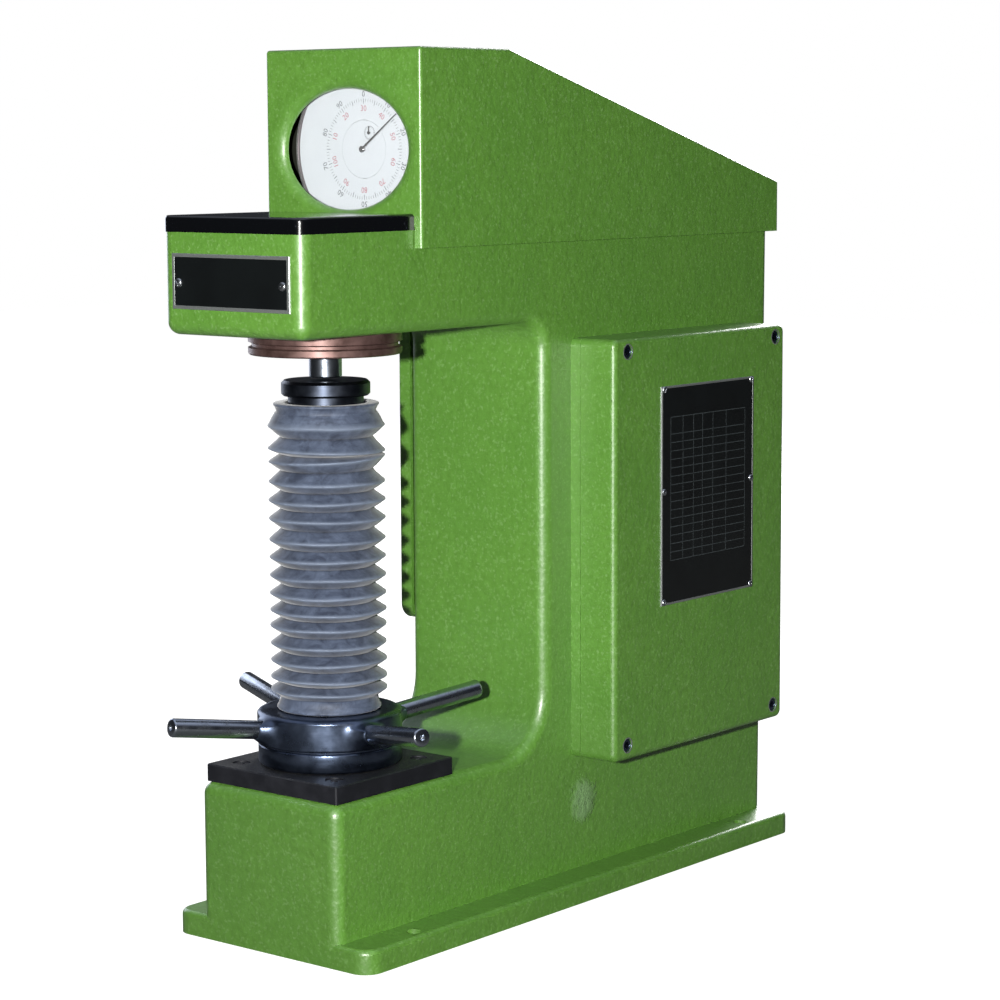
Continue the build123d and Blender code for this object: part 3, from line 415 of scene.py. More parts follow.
def bellowsRubber():
    # Moulded grey rubber, dusty: blue-grey, with pale dust rubbed onto the edge of each fold, also a painted
    # highlight along the crests, scuffs in every direction about 10 mm long, and painted shade darkening the
    # valleys
    material, tree, place = startMaterial("dustyGreyRubber")
    outward = addNode(
        tree, "VectorMath", {"operation": "MULTIPLY_ADD", 1: (1, 1, 0), 2: (-axisX, -axisY, 0)}, {0: place}
    )
    reach = addNode(tree, "VectorMath", {"operation": "LENGTH"}, {0: outward})
    depth = addNode(
        tree, "MapRange", {"From Min": bellowsShape["valley"] * mm, "From Max": bellowsShape["peak"] * mm},
        {"Value": reach},
    )
    scuff = addNode(
        tree, "TexNoise", {"Scale": 1 / (11 * mm), "Detail": 5.0, "Roughness": 0.68, "Distortion": 0.6},
        {"Vector": place},
    )
    body = tint(tree, "323A4C", "5D687E", scuff, {"From Min": 0.35, "From Max": 0.72})
    smear = addNode(
        tree, "Mapping", {"Scale": (1 / (24 * mm), 1 / (24 * mm), 1 / (3 * mm))}, {"Vector": place}
    )
    ring = addNode(tree, "TexNoise", {"Scale": 1.0, "Detail": 3.0, "Roughness": 0.6}, {"Vector": smear})
    smeared = tint(tree, body, "262F42", ring, {"From Min": 0.52, "From Max": 0.72, "To Max": 0.6})
    # Pale crests: dust rubbed onto each fold's edge, and a painted highlight along it
    crestDustAndHighlight = tint(tree, smeared, "747F92", depth, {"From Min": 0.80, "From Max": 1.0, "To Max": 0.75})
    # Painted shade: the valleys between the folds are darkened almost to black
    colour = tint(
        tree, crestDustAndHighlight, "0C0E14", depth, {"From Min": 0.0, "From Max": 0.3, "To Min": 0.95, "To Max": 0.0}
    )
    grain = addNode(tree, "TexNoise", {"Scale": 1 / (0.9 * mm), "Detail": 3.0}, {"Vector": place})
    bump = addNode(tree, "Bump", {"Strength": 0.3, "Distance": 0.12 * mm}, {"Height": grain})
    return finishMaterial(
        material, {"Roughness": 0.62, "IOR": 1.5, "Sheen Weight": 0.25, "Sheen Roughness": 0.4},
        {"Base Color": colour, "Normal": bump},
    )


def anodisedSheet():
    # Anodised aluminium sheet, filled black: satin, fine rolled grain along the sheet, 0.6 mm apart
    material, tree, place = startMaterial("blackAnodisedSheet")
    haze = addNode(tree, "TexNoise", {"Scale": 1 / (30 * mm), "Detail": 3.0}, {"Vector": place})
    colour = tint(tree, "070809", "111516", haze)
    bump = toolLines(tree, place, (16.7, 16.7, 0.6), 0.15, 0.03)
    return finishMaterial(material, {"Roughness": 0.3}, {"Base Color": colour, "Normal": bump})


def clearCrystal():
    # Moulded acrylic dial window: all but invisible, with a clean reflection
    material, tree, place = startMaterial("clearAcrylic")
    haze = addNode(tree, "TexNoise", {"Scale": 1 / (20 * mm)}, {"Vector": place})
    rough = addNode(tree, "MapRange", {"To Min": 0.02, "To Max": 0.06}, {"Value": haze})
    return finishMaterial(
        material, {"Base Color": hexColor("F6F8FA"), "IOR": 1.49, "Alpha": 0.06}, {"Roughness": rough}
    )


# Finishes that need only one cloudy pattern. Each has the pattern's size in mm and its settings, the two
# colours it mixes and the shader's settings, and some have how the mix, the gloss or the skin follows it
cloudyFinishes = {
    # Bright zinc plate on small screws: cool white metal with soft mottling
    "brightZinc": {
        "size": 1.5, "pattern": {"Detail": 3.0}, "colours": ("C9CDD2", "8F9499"),
        "gloss": {"To Min": 0.18, "To Max": 0.4}, "shader": {"Metallic": 1.0},
    },
    # Bare aluminium border of the black sheet: pale satin metal
    "bareAluminium": {
        "size": 1.2, "pattern": {"Detail": 3.0}, "colours": ("B4B9B8", "8C9291"),
        "shader": {"Metallic": 0.75, "Roughness": 0.34},
    },
    # The same sheet where the black is etched thin: dull grey, uneven
    "etchedGreyLines": {
        "size": 2.0, "colours": ("30363A", "4C5456"), "shader": {"Roughness": 0.5},
    },
    # Machined bronze: yellow-brown metal with soft stains
    "machinedBronze": {
        "size": 8.0, "pattern": {"Detail": 4.0}, "colours": ("B98A4A", "7A5526"),
        "shader": {"Metallic": 1.0, "Roughness": 0.32},
    },
    # Turned grey cast iron: dull dark metal, open grain about 1.5 mm
    "greyCastIron": {
        "size": 1.5, "pattern": {"Detail": 4.0, "Roughness": 0.65}, "colours": ("3B3C3D", "5B5C5C"),
        "skin": {"Strength": 0.35, "Distance": 0.15 * mm}, "shader": {"Metallic": 0.8, "Roughness": 0.48},
    },
    # Moulded black phenolic, polished: deep black with faint moulding marks
    "blackPhenolic": {
        "size": 5.0, "pattern": {"Detail": 3.0}, "colours": ("0A0A0B", "171718"),
        "gloss": {"To Min": 0.12, "To Max": 0.24}, "shader": {"IOR": 1.55},
    },
    # White enamelled dial plate: flat cool white with the slightest cloud
    "whiteDialEnamel": {
        "size": 25.0, "colours": ("C2C9D1", "CAD0D7"), "shader": {"Roughness": 0.42},
    },
    # Screen-printed inks, a little uneven, matt
    "blackDialInk": {
        "size": 1.0, "colours": ("454A52", "8F9398"),
        "share": {"From Min": 0.3, "From Max": 0.9, "To Max": 0.55}, "shader": {"Roughness": 0.5},
    },
    "redDialInk": {
        "size": 1.0, "colours": ("AE5060", "8F9398"),
        "share": {"From Min": 0.3, "From Max": 0.9, "To Max": 0.55}, "shader": {"Roughness": 0.5},
    },
    # Near-black olive inside the hood, painted shade for the dark hollow seen past the window: dead matt,
    # cloudy
    "darkHoodInsideShade": {
        "size": 18.0, "pattern": {"Detail": 3.0}, "colours": ("0E100B", "23271A"),
        "shader": {"Roughness": 0.8},
    },
    # Purple-brown lacquer on the thin brass rim: dark, with a soft gleam
    "rimBrownLacquer": {
        "size": 12.0, "colours": ("2C2026", "4A3A42"), "shader": {"Metallic": 0.4, "Roughness": 0.3},
    },
}


def cloudyFinish(name, finish):
    material, tree, place = startMaterial(name)
    pattern = {"Scale": 1 / (finish["size"] * mm), **finish.get("pattern", {})}
    cloud = addNode(tree, "TexNoise", pattern, {"Vector": place})
    links = {"Base Color": tint(tree, *finish["colours"], cloud, finish.get("share"))}
    if "gloss" in finish:
        links["Roughness"] = addNode(tree, "MapRange", finish["gloss"], {"Value": cloud})
    if "skin" in finish:
        links["Normal"] = addNode(tree, "Bump", finish["skin"], {"Height": cloud})
    return finishMaterial(material, finish["shader"], links)


made = {name: cloudyFinish(name, finish) for name, finish in cloudyFinishes.items()}
greenEnamel = hammeredEnamel()
greyRubber = bellowsRubber()
blackSheet = anodisedSheet()
hubSteel = blackOxide("blackenedHubSteel", "525D72", "667188", 0.30, streak=0.5, dust=0.1)
plateSteel = blackOxide("blackenedPlateSteel", "1B1C22", "2A2B32", 0.5, streak=0.1, dust=0.5, metal=0.4)
anvilSteel = blackOxide("blackenedAnvilSteel", "3A3F4A", "4E535E", 0.36, streak=0.4, dust=0.15)
brightSteel = turnedSteel("turnedBrightSteel", "868D98", 0.30, streak=(33.3, 33.3, 0.714))
spokeSteel = turnedSteel("polishedSpokeSteel", "A9B0BC", 0.22, streak=(5, 5, 5))

finishes = {
    "green_enamel": greenEnamel, "black_enamel": blackEnamel(), "black_oxide": plateSteel,
    "bright_steel": brightSteel, "bronze": made["machinedBronze"], "copper_lacquer": lacqueredCopper(),
    "bellows_rubber": greyRubber, "cast_lever": made["greyCastIron"], "cast_weights": made["greyCastIron"],
    "black_plastic": made["blackPhenolic"], "zinc_screws": made["brightZinc"], "etched_plate": blackSheet,
    "crystal": clearCrystal(), "dial_white": made["whiteDialEnamel"],
}
ownFinish = {
    "anvil": anvilSteel, "capstan_hub": hubSteel, "cover_screws": hubSteel, "spokes": spokeSteel,
}
for subpart in frame["record"]["subparts"]:
    name = subpart["node"]
    slots = nodes[name].data.materials
    slots.clear()
    slots.append(ownFinish.get(name, finishes[subpart["material_slot"]]))
print("materials made")


def addPiece(name, verts, faces, material, body, slotName, sharp=35):
    mesh = bpy.data.meshes.new(name)
    mesh.from_pydata([tuple(v) for v in verts], [], faces)
    tool = bmesh.new()
    tool.from_mesh(mesh)
    bmesh.ops.recalc_face_normals(tool, faces=tool.faces)
    tool.to_mesh(mesh)
    tool.free()
    mesh.shade_smooth()
    mesh.set_sharp_from_angle(angle=radians(sharp))
    mesh.materials.append(material)
    piece = newObject(name, mesh)
    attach(piece, body)
    return piece


def turnedGrid(profile, steps, place, axis, shape=None, looped=False):
    # profile: (radius, height) pairs in mm, from one end to the other; a radius of 0 closes that end
    turn = Vector(axis).to_track_quat("Z", "Y")
    verts, rows, faces = [], [], []
    for row, (radius, height) in enumerate(profile):
        count = 1 if radius == 0 else steps
        rows.append([len(verts) + k for k in range(count)])
        for k in range(count):
            angle = 2 * pi * k / steps
            r, h = shape(row, angle, radius, height) if shape and radius else (radius, height)
            local = Vector((r * cos(angle), r * sin(angle), h)) * mm
            verts.append(Vector(place) + turn @ local)
    pairs = list(zip(rows, rows[1:])) + ([(rows[-1], rows[0])] if looped else [])
    for lower, upper in pairs:
        for k in range(steps):
            a, b = lower[k % len(lower)], lower[(k + 1) % len(lower)]
            c, d = upper[(k + 1) % len(upper)], upper[k % len(upper)]
            faces.append(tuple(dict.fromkeys((a, b, c, d))))
    return verts, faces


def joinGrids(grids):
    verts, faces = [], []
    for gridVerts, gridFaces in grids:
        start = len(verts)
        verts += gridVerts
        faces += [tuple(start + i for i in face) for face in gridFaces]
    return verts, faces


def arc(centre, radius, start, end, count):
    # Points on an arc in the (radius, height) plane; angles in degrees from the outward direction
    turns = [radians(start + (end - start) * i / (count - 1)) for i in range(count)]
    return [(centre[0] + radius * cos(t), centre[1] + radius * sin(t)) for t in turns]


def boxGrid(low, high):
    corners = [
        Vector((x, y, z)) for z in (low[2], high[2]) for y in (low[1], high[1]) for x in (low[0], high[0])
    ]
    faces = [(0, 2, 3, 1), (4, 5, 7, 6), (0, 1, 5, 4), (2, 6, 7, 3), (0, 4, 6, 2), (1, 3, 7, 5)]
    return corners, faces


def foldFlank(shape, flank, inner, middle, height, stop):
    # A point on the way from a valley at radius inner and height middle to the peak at height
    edge = flank["edge"] if middle > height else -flank["edge"]
    return (
        inner + (shape["peak"] - flank["edge"] - inner) * stop ** flank["outBow"],
        middle + (height + edge - middle) * stop ** flank["upBow"],
    )


def bellowsProfile(shape):
    # The outline from the top bore to the foot, and for each point its fold, or -1 on the ends
    bottom, top = [v.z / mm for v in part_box("bellows")]
    folds, neck, cuff = shape["folds"], shape["neck"], shape["cuff"]
    upper, lower = shape["upperFlank"], shape["lowerFlank"]
    lip = shape["topLip"]
    points = [(shape["bore"], top)]
    points += arc((shape["flange"] - lip, top - lip), lip, *shape["topArc"])
    points += [(neck + out, top + up) for out, up in shape["topNeck"]]
    marks = [-1] * len(points)
    for index, height in enumerate(folds):
        isFirst, isLast = index == 0, index + 1 == len(folds)
        if isFirst:
            above, innerAbove = top - shape["firstFoldBelow"], neck
        else:
            above = (folds[index - 1] + height) / 2
            crowding = max(0.0, shape["closeFold"] - (folds[index - 1] - height))
            innerAbove = shape["valley"] + crowding * shape["closeFill"]
        if isLast:
            below, innerBelow = height - shape["lastFoldReach"], neck - shape["lastNeck"]
        else:
            below, innerBelow = (height + folds[index + 1]) / 2, shape["valley"]
        stops = ((shape["firstStop"],) if isFirst else ()) + upper["stops"]
        ring = [foldFlank(shape, upper, innerAbove, above, height, stop) for stop in stops]
        ring += [(shape["peak"] + out, height + up) for out, up in shape["crest"]]
        ring += [foldFlank(shape, lower, innerBelow, below, height, stop) for stop in lower["stops"]]
        points += ring
        marks += [index] * len(ring)
    lip = shape["footLip"]
    points += [(neck + out, bottom + up) for out, up in shape["footNeck"]]
    points.append((cuff + shape["footShoulder"][0], bottom + shape["footShoulder"][1]))
    points += arc((cuff - lip, bottom + lip), lip, *shape["footArc"])
    points.append((shape["bore"], bottom))
    marks += [-1] * (len(points) - len(marks))
    return points, marks


def buildBellows(shape):
    points, marks = bellowsProfile(shape)

    def soften(row, angle, radius, height):
        # Each fold wanders and sags a little, and some lean to one side
        fold = marks[row]
        if fold < 0:
            return radius, height
        wave = shape["waveAround"]
        around = Vector((cos(angle) * wave, sin(angle) * wave, fold * shape["waveAlong"]))
        out = (radius - shape["valley"]) / (shape["peak"] - shape["valley"])
        lean = shape["lean"].get(fold, 0.0) * cos(angle - radians(shape["leanTo"]))
        radius += shape["wobble"] * out * noise.noise(around)
        height += out * (lean + shape["sag"] * noise.noise(around + Vector(shape["sagShift"])))
        return radius, height

    grid = turnedGrid(points, shape["steps"], (axisX, axisY, 0), (0, 0, 1), soften, looped=True)
    piece = addPiece("bellowsSkin", *grid, greyRubber, "screw", "bellows_rubber", sharp=75)
    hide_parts("bellows")
    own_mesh(piece)


buildBellows(bellowsShape)
print("bellows built")


# The capstan, in mm and degrees. Pairs are (inset, height), counted from the wall and the top for the top
# edge, from the groove's top for the groove and the foot's edge, and from the tip for a spoke's end
capstanShape = {
    "wall": 52.0, "footRadius": 51.4, "shoulder": 143.5, "boreTop": 30.0, "boreFoot": 41.2, "foot": 128.7,
    "topEdge": ((6.0, 0.0), (2.6, -0.3), (1.0, -1.2)), "sideFrom": 2.4, "sideTo": 1.0, "sideRows": 26,
    "grooveAbove": 0.6, "groove": ((0.3, 0.3), (1.2, -0.1), (1.9, -0.3), (1.9, -1.0)),
    "footEdge": ((0.9, -1.3), (0.2, -1.8), (0.0, -2.8)), "footBreak": 1.5, "spokes": 4, "turn": -17.8,
    "tilt": 8.0, "axisHeight": 156.0, "axisAt": 50.0, "flareReach": 9.5, "flareStart": 7.0,
    "flareEnd": 19.0, "flareCurve": 2.3, "rimLip": 1.6, "rimFade": 5.5, "hubSteps": 360, "spokeRadius": 6.7,
    "spokeRoot": 40.0, "spokeTip": 128.2, "spokeEnd": ((0.0, -1.6), (0.25, -0.8), (0.8, -0.25), (1.5, 0.0)),
    "centreHole": ((2.1, 0.0), (1.7, -0.5), (0.9, -1.8), (0, -2.4)), "spokeSteps": 48,
}


def buildHub(shape):
    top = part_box("capstan_hub")[1].z / mm
    wall, foot = shape["wall"], shape["footRadius"]
    tilt = radians(shape["tilt"])

    def flare(angle, height):
        # How far the trumpet of the nearest spoke draws the wall out at this angle and height
        part = 2 * pi / shape["spokes"]
        aside = (angle - radians(shape["turn"]) + part / 2) % part - part / 2
        out = 0.0
        for attempt in range(4):
            reach = wall + out
            rise = shape["axisHeight"] + (reach - shape["axisAt"]) * tan(tilt)
            off = hypot(reach * sin(aside), (height - rise) * cos(tilt))
            share = (off - shape["flareStart"]) / (shape["flareEnd"] - shape["flareStart"])
            out = shape["flareReach"] * (1 - min(1.0, max(0.0, share))) ** shape["flareCurve"]
        # The trumpet dies away under the top rim
        under = min(1.0, max(0.0, (top - shape["rimLip"] - height) / shape["rimFade"]))
        return out * under * under * (3 - 2 * under)

    topEdge = [(shape["boreTop"], top)] + [(wall - inset, top + up) for inset, up in shape["topEdge"]]
    grooveTop = shape["shoulder"] + shape["grooveAbove"]
    sideTop, sideLow = top - shape["sideFrom"], grooveTop + shape["sideTo"]
    rows = shape["sideRows"]
    side = [(wall, sideTop - (sideTop - sideLow) * i / rows) for i in range(rows + 1)]
    lower = [(wall - inset, grooveTop + up) for inset, up in shape["groove"]]
    lower += [(foot - inset, grooveTop + up) for inset, up in shape["footEdge"]]
    lower += [(foot, shape["foot"] + shape["footBreak"]), (foot - shape["footBreak"], shape["foot"])]
    lower.append((shape["boreFoot"], shape["foot"]))
    firstSide, lastSide = len(topEdge), len(topEdge) + len(side)

    def draw(row, angle, radius, height):
        if firstSide <= row < lastSide:
            return radius + flare(angle, height), height
        return radius, height

    place, steps = (axisX, axisY, 0), shape["hubSteps"]
    grid = turnedGrid(topEdge + side + lower, steps, place, (0, 0, 1), draw, looped=True)
    piece = addPiece("capstanHubDrawn", *grid, hubSteel, "capstan", "black_oxide", sharp=50)
    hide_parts("capstan_hub")


def buildSpokes(shape):
    r, start, tip = shape["spokeRadius"], shape["spokeRoot"], shape["spokeTip"]
    tilt = radians(shape["tilt"])
    drop = shape["axisHeight"] - shape["axisAt"] * tan(tilt)
    profile = [(0, start), (r, start)]
    profile += [(r - inset, tip + up) for inset, up in shape["spokeEnd"]]
    profile += [(radius, tip + up) for radius, up in shape["centreHole"]]
    grids = []
    for index in range(shape["spokes"]):
        heading = radians(shape["turn"] + 360 * index / shape["spokes"])
        run = Vector((cos(heading) * cos(tilt), sin(heading) * cos(tilt), sin(tilt)))
        grids.append(turnedGrid(profile, shape["spokeSteps"], (axisX, axisY, drop * mm), run))
    piece = addPiece("capstanSpokes", *joinGrids(grids), spokeSteel, "capstan", "bright_steel", sharp=30)
    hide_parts("spokes")


buildHub(capstanShape)
buildSpokes(capstanShape)
print("capstan built")


# The two black sheets with a bright border, in mm
plateTrim = {"sideBorder": 1.6, "frontBorder": 2.4, "raise": 0.12, "edge": 0.35, "step": 0.1}


def buildSheet(name, node, border, onSide):
    # A thin sheet with a raised flat border; onSide faces +X, and otherwise it faces -Y
    low, high = [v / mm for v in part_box(node)]
    face, back, outward = (high.x, low.x, 1) if onSide else (low.y, high.y, -1)
    left, right = (low.y, high.y) if onSide else (low.x, high.x)

    def ring(inset, out):
        sides, levels = (left + inset, right - inset), (low.z + inset, high.z - inset)
        corners = [(sides[i], levels[j]) for i, j in ((0, 0), (1, 0), (1, 1), (0, 1))]
        return [Vector((out, side, up) if onSide else (side, out, up)) * mm for side, up in corners]

    edge, field = plateTrim["edge"], face - plateTrim["raise"] * outward
    rings = [ring(0, back), ring(0, face - edge * outward), ring(edge, face), ring(border, face)]
    rings.append(ring(border + plateTrim["step"], field))
    verts = [corner for loop in rings for corner in loop]
    faces = [(3, 2, 1, 0)]
    for start in range(0, len(verts) - 4, 4):
        for k in range(4):
            a, b = start + k, start + (k + 1) % 4
            faces.append((a, b, b + 4, a + 4))
    faces.append(tuple(range(len(verts) - 4, len(verts))))
    piece = addPiece(name, verts, faces, made["bareAluminium"], "frame", "etched_plate", sharp=20)
    piece.data.materials.append(blackSheet)
    piece.data.polygons[len(faces) - 1].material_index = 1  # the field inside the border
    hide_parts(node)


# The blank table on the side sheet, in mm: thin etched rules, no text
ruledTable = {
    "line": 0.45, "lift": 0.02, "sides": 12, "above": 24, "below": 34, "rows": 17, "openRow": 1,
    "columns": (0.0, 0.16, 0.30, 0.42, 0.56, 0.74, 1.0),
}


def buildRules(shape):
    low, high = [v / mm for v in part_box("spec_plate")]
    field, half = high.x - plateTrim["raise"], shape["line"] / 2
    left, right = low.y + shape["sides"], high.y - shape["sides"]
    top, bottom = high.z - shape["above"], low.z + shape["below"]
    rules = []
    for i in range(shape["rows"] + 1):
        if i != shape["openRow"]:
            z = top - (top - bottom) * i / shape["rows"]
            rules.append((left, right, z - half, z + half))
    for share in shape["columns"]:
        y = left + (right - left) * share
        rules.append((y - half, y + half, bottom, top))
    grids = []
    for y0, y1, z0, z1 in rules:
        corners = (field - shape["lift"], y0, z0), (field + shape["lift"], y1, z1)
        grids.append(boxGrid(*[Vector(corner) * mm for corner in corners]))
    addPiece("specRules", *joinGrids(grids), made["etchedGreyLines"], "frame", "etched_plate", sharp=20)


# Slotted round heads on both sheets, in mm, with the turn of the slots in radians
plateScrews = {
    "side": {"radius": 2.6, "crown": 1.35, "slot": 0.7},
    "front": {"radius": 3.2, "crown": 1.7, "slot": 0.8615}, "slotDepth": 0.6, "slotFloor": 0.15,
    "fall": 0.92, "rings": 9, "steps": 48, "firstTurn": 0.4, "sideTurn": 1.1, "frontTurn": 1.3,
    "sideInset": (3.5, 2.5), "middleUp": 3.5, "frontInset": 6.5, "frontDown": 1.0,
}


def slottedHead(place, axis, head, slotTurn):
    # Round head with a sawn slot: a polar grid whose height drops inside the slot
    rings, steps = plateScrews["rings"], plateScrews["steps"]
    turn = Vector(axis).to_track_quat("Z", "Y")
    floor = max(plateScrews["slotFloor"], head["crown"] - plateScrews["slotDepth"])
    verts, faces = [], []
    for ring in range(rings):
        share = 1 - ring / rings
        for k in range(steps):
            angle = 2 * pi * k / steps
            x, y = head["radius"] * share * cos(angle), head["radius"] * share * sin(angle)
            h = head["crown"] * sqrt(max(0.0, 1 - share**2 * plateScrews["fall"])) if ring else 0.0
            if ring and abs(x * cos(slotTurn) + y * sin(slotTurn)) < head["slot"] / 2:
                h = floor
            verts.append(Vector(place) + turn @ (Vector((x, y, h)) * mm))
    verts.append(Vector(place) + turn @ (Vector((0, 0, floor)) * mm))
    for ring in range(rings - 1):
        for k in range(steps):
            a, b = ring * steps + k, ring * steps + (k + 1) % steps
            faces.append((a, b, b + steps, a + steps))
    last = (rings - 1) * steps
    faces += [(last + k, last + (k + 1) % steps, len(verts) - 1) for k in range(steps)]
    faces.append(tuple(range(steps)))
    return verts, faces


def buildPlateScrews(shape):
    # Two on the front sheet and six on the side sheet, where the frame's screws are
    sideLow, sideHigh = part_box("spec_plate")
    frontLow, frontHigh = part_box("front_plate")
    aside, up = [v * mm for v in shape["sideInset"]]
    middle = (sideLow.z + sideHigh.z) / 2 + shape["middleUp"] * mm
    grids, turn = [], shape["firstTurn"]
    for y in (sideLow.y + aside, sideHigh.y - aside):
        for z in (sideLow.z + up, middle, sideHigh.z - up):
            grids.append(slottedHead((sideHigh.x, y, z), (1, 0, 0), shape["side"], turn))
            turn += shape["sideTurn"]
    middle = (frontLow.z + frontHigh.z) / 2 - shape["frontDown"] * mm
    inset = shape["frontInset"] * mm
    for x in (frontLow.x + inset, frontHigh.x - inset):
        grids.append(slottedHead((x, frontLow.y, middle), (0, -1, 0), shape["front"], turn))
        turn += shape["frontTurn"]
    piece = addPiece(
        "plateScrewHeads", *joinGrids(grids), made["brightZinc"], "frame", "zinc_screws", sharp=40
    )
    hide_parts("plate_rivets")


buildSheet("specSheet", "spec_plate", plateTrim["sideBorder"], onSide=True)
buildSheet("frontSheet", "front_plate", plateTrim["frontBorder"], onSide=False)
buildRules(ruledTable)
buildPlateScrews(plateScrews)
print("plates and screws built")


# Worn rims round the cover's counterbores, in mm: (radius, height over the cover) pairs
rimShape = {
    "inset": 5.1, "outline": ((5.35, -0.6), (5.35, 0.048), (5.6, 0.12), (5.9, 0.12), (6.2, -0.05)),
    "steps": 48,
}


def buildScrewRims(shape):
    # Bare metal where the paint is worn through round the four counterbores
    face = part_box("side_cover")[1].x
    low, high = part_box("cover_screws")
    inset = shape["inset"] * mm
    grids = [
        turnedGrid(shape["outline"], shape["steps"], (face, y, z), (1, 0, 0), looped=True)
        for y in (low.y + inset, high.y - inset)
        for z in (low.z + inset, high.z - inset)
    ]
    addPiece("coverScrewRims", *joinGrids(grids), made["bareAluminium"], "frame", "zinc_screws", sharp=40)


# The ball's last angle from its top, in degrees, and the seat under it in mm
knobShape = {
    "step": 6, "ballTo": 144, "seatAt": 146, "seatInset": 0.3, "seatUp": 0.5, "neck": 6.6, "steps": 64,
}


def buildKnob(shape):
    low, high = [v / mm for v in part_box("lever_knob")]
    radius = (high.x - low.x) / 2
    middle = high.z - radius
    turns = [radians(t) for t in range(shape["step"], shape["ballTo"] + 1, shape["step"])]
    profile = [(0, high.z)] + [(radius * sin(t), middle + radius * cos(t)) for t in turns]
    seat = radius * sin(radians(shape["seatAt"])) - shape["seatInset"]
    profile += [(seat, low.z + shape["seatUp"]), (shape["neck"], low.z), (0, low.z)]
    place = ((low.x + high.x) / 2 * mm, (low.y + high.y) / 2 * mm, 0)
    grid = turnedGrid(profile, shape["steps"], place, (0, 0, 1))
    piece = addPiece("ballKnob", *grid, made["blackPhenolic"], "load_lever", "black_plastic", sharp=40)
    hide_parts("lever_knob")


buildScrewRims(rimShape)
buildKnob(knobShape)
print("rims and knob built")


# The hood's window, in mm: half widths and heights, and the collar of the frame's hood that gives way to it
hoodShape = {
    "collarWide": 64.0, "collarHigh": 50.0, "collarDeep": 9.0, "windowAt": 0.45, "windowWide": 57.6,
    "windowHigh": 42.5, "rollWide": 10.5, "rollHigh": 6.8, "rollDeep": 6.0, "tuck": 0.4, "sheet": 1.4,
    "steps": 144, "rollRows": 10,
}


def buildHood(shape):
    # The folded sheet, with painted shade on its inside faces, its window drawn out sideways for a rolled
    # edge
    mesh = nodes["hood"].data.copy()
    low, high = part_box("hood")
    middle = (low + high) / 2
    wide, tall = shape["collarWide"], shape["collarHigh"]
    tool = bmesh.new()
    tool.from_mesh(mesh)

    def onCollar(vertex):
        side, up = (vertex.co.x - dialX) / mm, (vertex.co.z - dialZ) / mm
        return vertex.co.y < low.y + shape["collarDeep"] * mm and hypot(side / wide, up / tall) < 1

    rolled = [face for face in tool.faces if all(onCollar(vertex) for vertex in face.verts)]
    bmesh.ops.delete(tool, geom=rolled, context="FACES")
    outerWide = shape["windowWide"] + shape["rollWide"] - shape["tuck"]
    outerHigh = shape["windowHigh"] + shape["rollHigh"] - shape["tuck"]
    for vertex in tool.verts:
        if onCollar(vertex):
            turn = atan2((vertex.co.z - dialZ) / tall, (vertex.co.x - dialX) / wide)
            vertex.co.x = (shape["windowAt"] + outerWide * cos(turn)) * mm
            vertex.co.z = dialZ + outerHigh * sin(turn) * mm
    tool.to_mesh(mesh)
    tool.free()
    mesh.materials.clear()
    mesh.materials.append(greenEnamel)
    mesh.materials.append(made["darkHoodInsideShade"])
    # The inside faces take the near-black painted shade
    for face in mesh.polygons:
        face.material_index = 1 if (face.center - middle).dot(face.normal) < 0 else 0
    piece = newObject("hoodSheet", mesh)
    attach(piece, "frame")
    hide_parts("hood")


def buildRolledEdge(shape):
    # A quarter turn from flush with the sheet to square with it, and back behind
    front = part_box("hood")[0].y
    steps, last = shape["steps"], shape["rollRows"]
    rows = [(k, 0.0) for k in range(last + 1)] + [(k, shape["sheet"]) for k in range(last, -1, -1)]
    verts, faces = [], []
    for k, back in rows:
        t = pi / 2 * k / last
        out, deep = 1 - sin(t), shape["rollDeep"] * (1 - cos(t))
        wide = shape["windowWide"] + shape["rollWide"] * out + back * (1 - out)
        tall = shape["windowHigh"] + shape["rollHigh"] * out + back * (1 - out)
        for i in range(steps):
            turn = 2 * pi * i / steps
            x, z = (shape["windowAt"] + wide * cos(turn)) * mm, dialZ + tall * sin(turn) * mm
            verts.append((x, front + (deep + back * out) * mm, z))
    for row in range(len(rows)):
        lower, upper = row * steps, (row + 1) % len(rows) * steps
        for k in range(steps):
            after = (k + 1) % steps
            faces.append((lower + k, lower + after, upper + after, upper + k))
    addPiece("hoodRolledEdge", verts, faces, greenEnamel, "frame", "green_enamel", sharp=50)


# Thin rim and white card out to it, in mm; heights are from the dial's face
bezelShape = {
    "inner": 61.7, "outer": 62.4, "front": 2.2, "rear": -6.0, "innerBreak": 0.3,
    "outerBreak": (0.2, 0.1, 0.6), "cardThick": 1.2, "cardGap": 0.02, "steps": 128,
}


def buildBezel(shape):
    place, axis, steps = (dialX, faceLow.y, dialZ), (0, -1, 0), shape["steps"]
    inner, outer, front, rear = [shape[key] for key in ("inner", "outer", "front", "rear")]
    inward, lowered, edge = shape["outerBreak"]
    rim = [(inner, rear), (inner, front - shape["innerBreak"]), (inner + shape["innerBreak"], front)]
    rim += [(outer - inward, front - lowered), (outer, front - edge), (outer, rear)]
    grid = turnedGrid(rim, steps, place, axis, looped=True)
    piece = addPiece("bezelRim", *grid, made["rimBrownLacquer"], "bezel", "black_plastic")
    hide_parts("dial_bezel")
    start = (faceHigh.x - faceLow.x) / 2 / mm + shape["cardGap"]
    thick = shape["cardThick"]
    card = [(start, -thick), (start, 0.0), (inner, 0.0), (inner, -thick)]
    grid = turnedGrid(card, steps, place, axis, looped=True)
    addPiece("dialCardEdge", *grid, made["whiteDialEnamel"], "bezel", "dial_white")


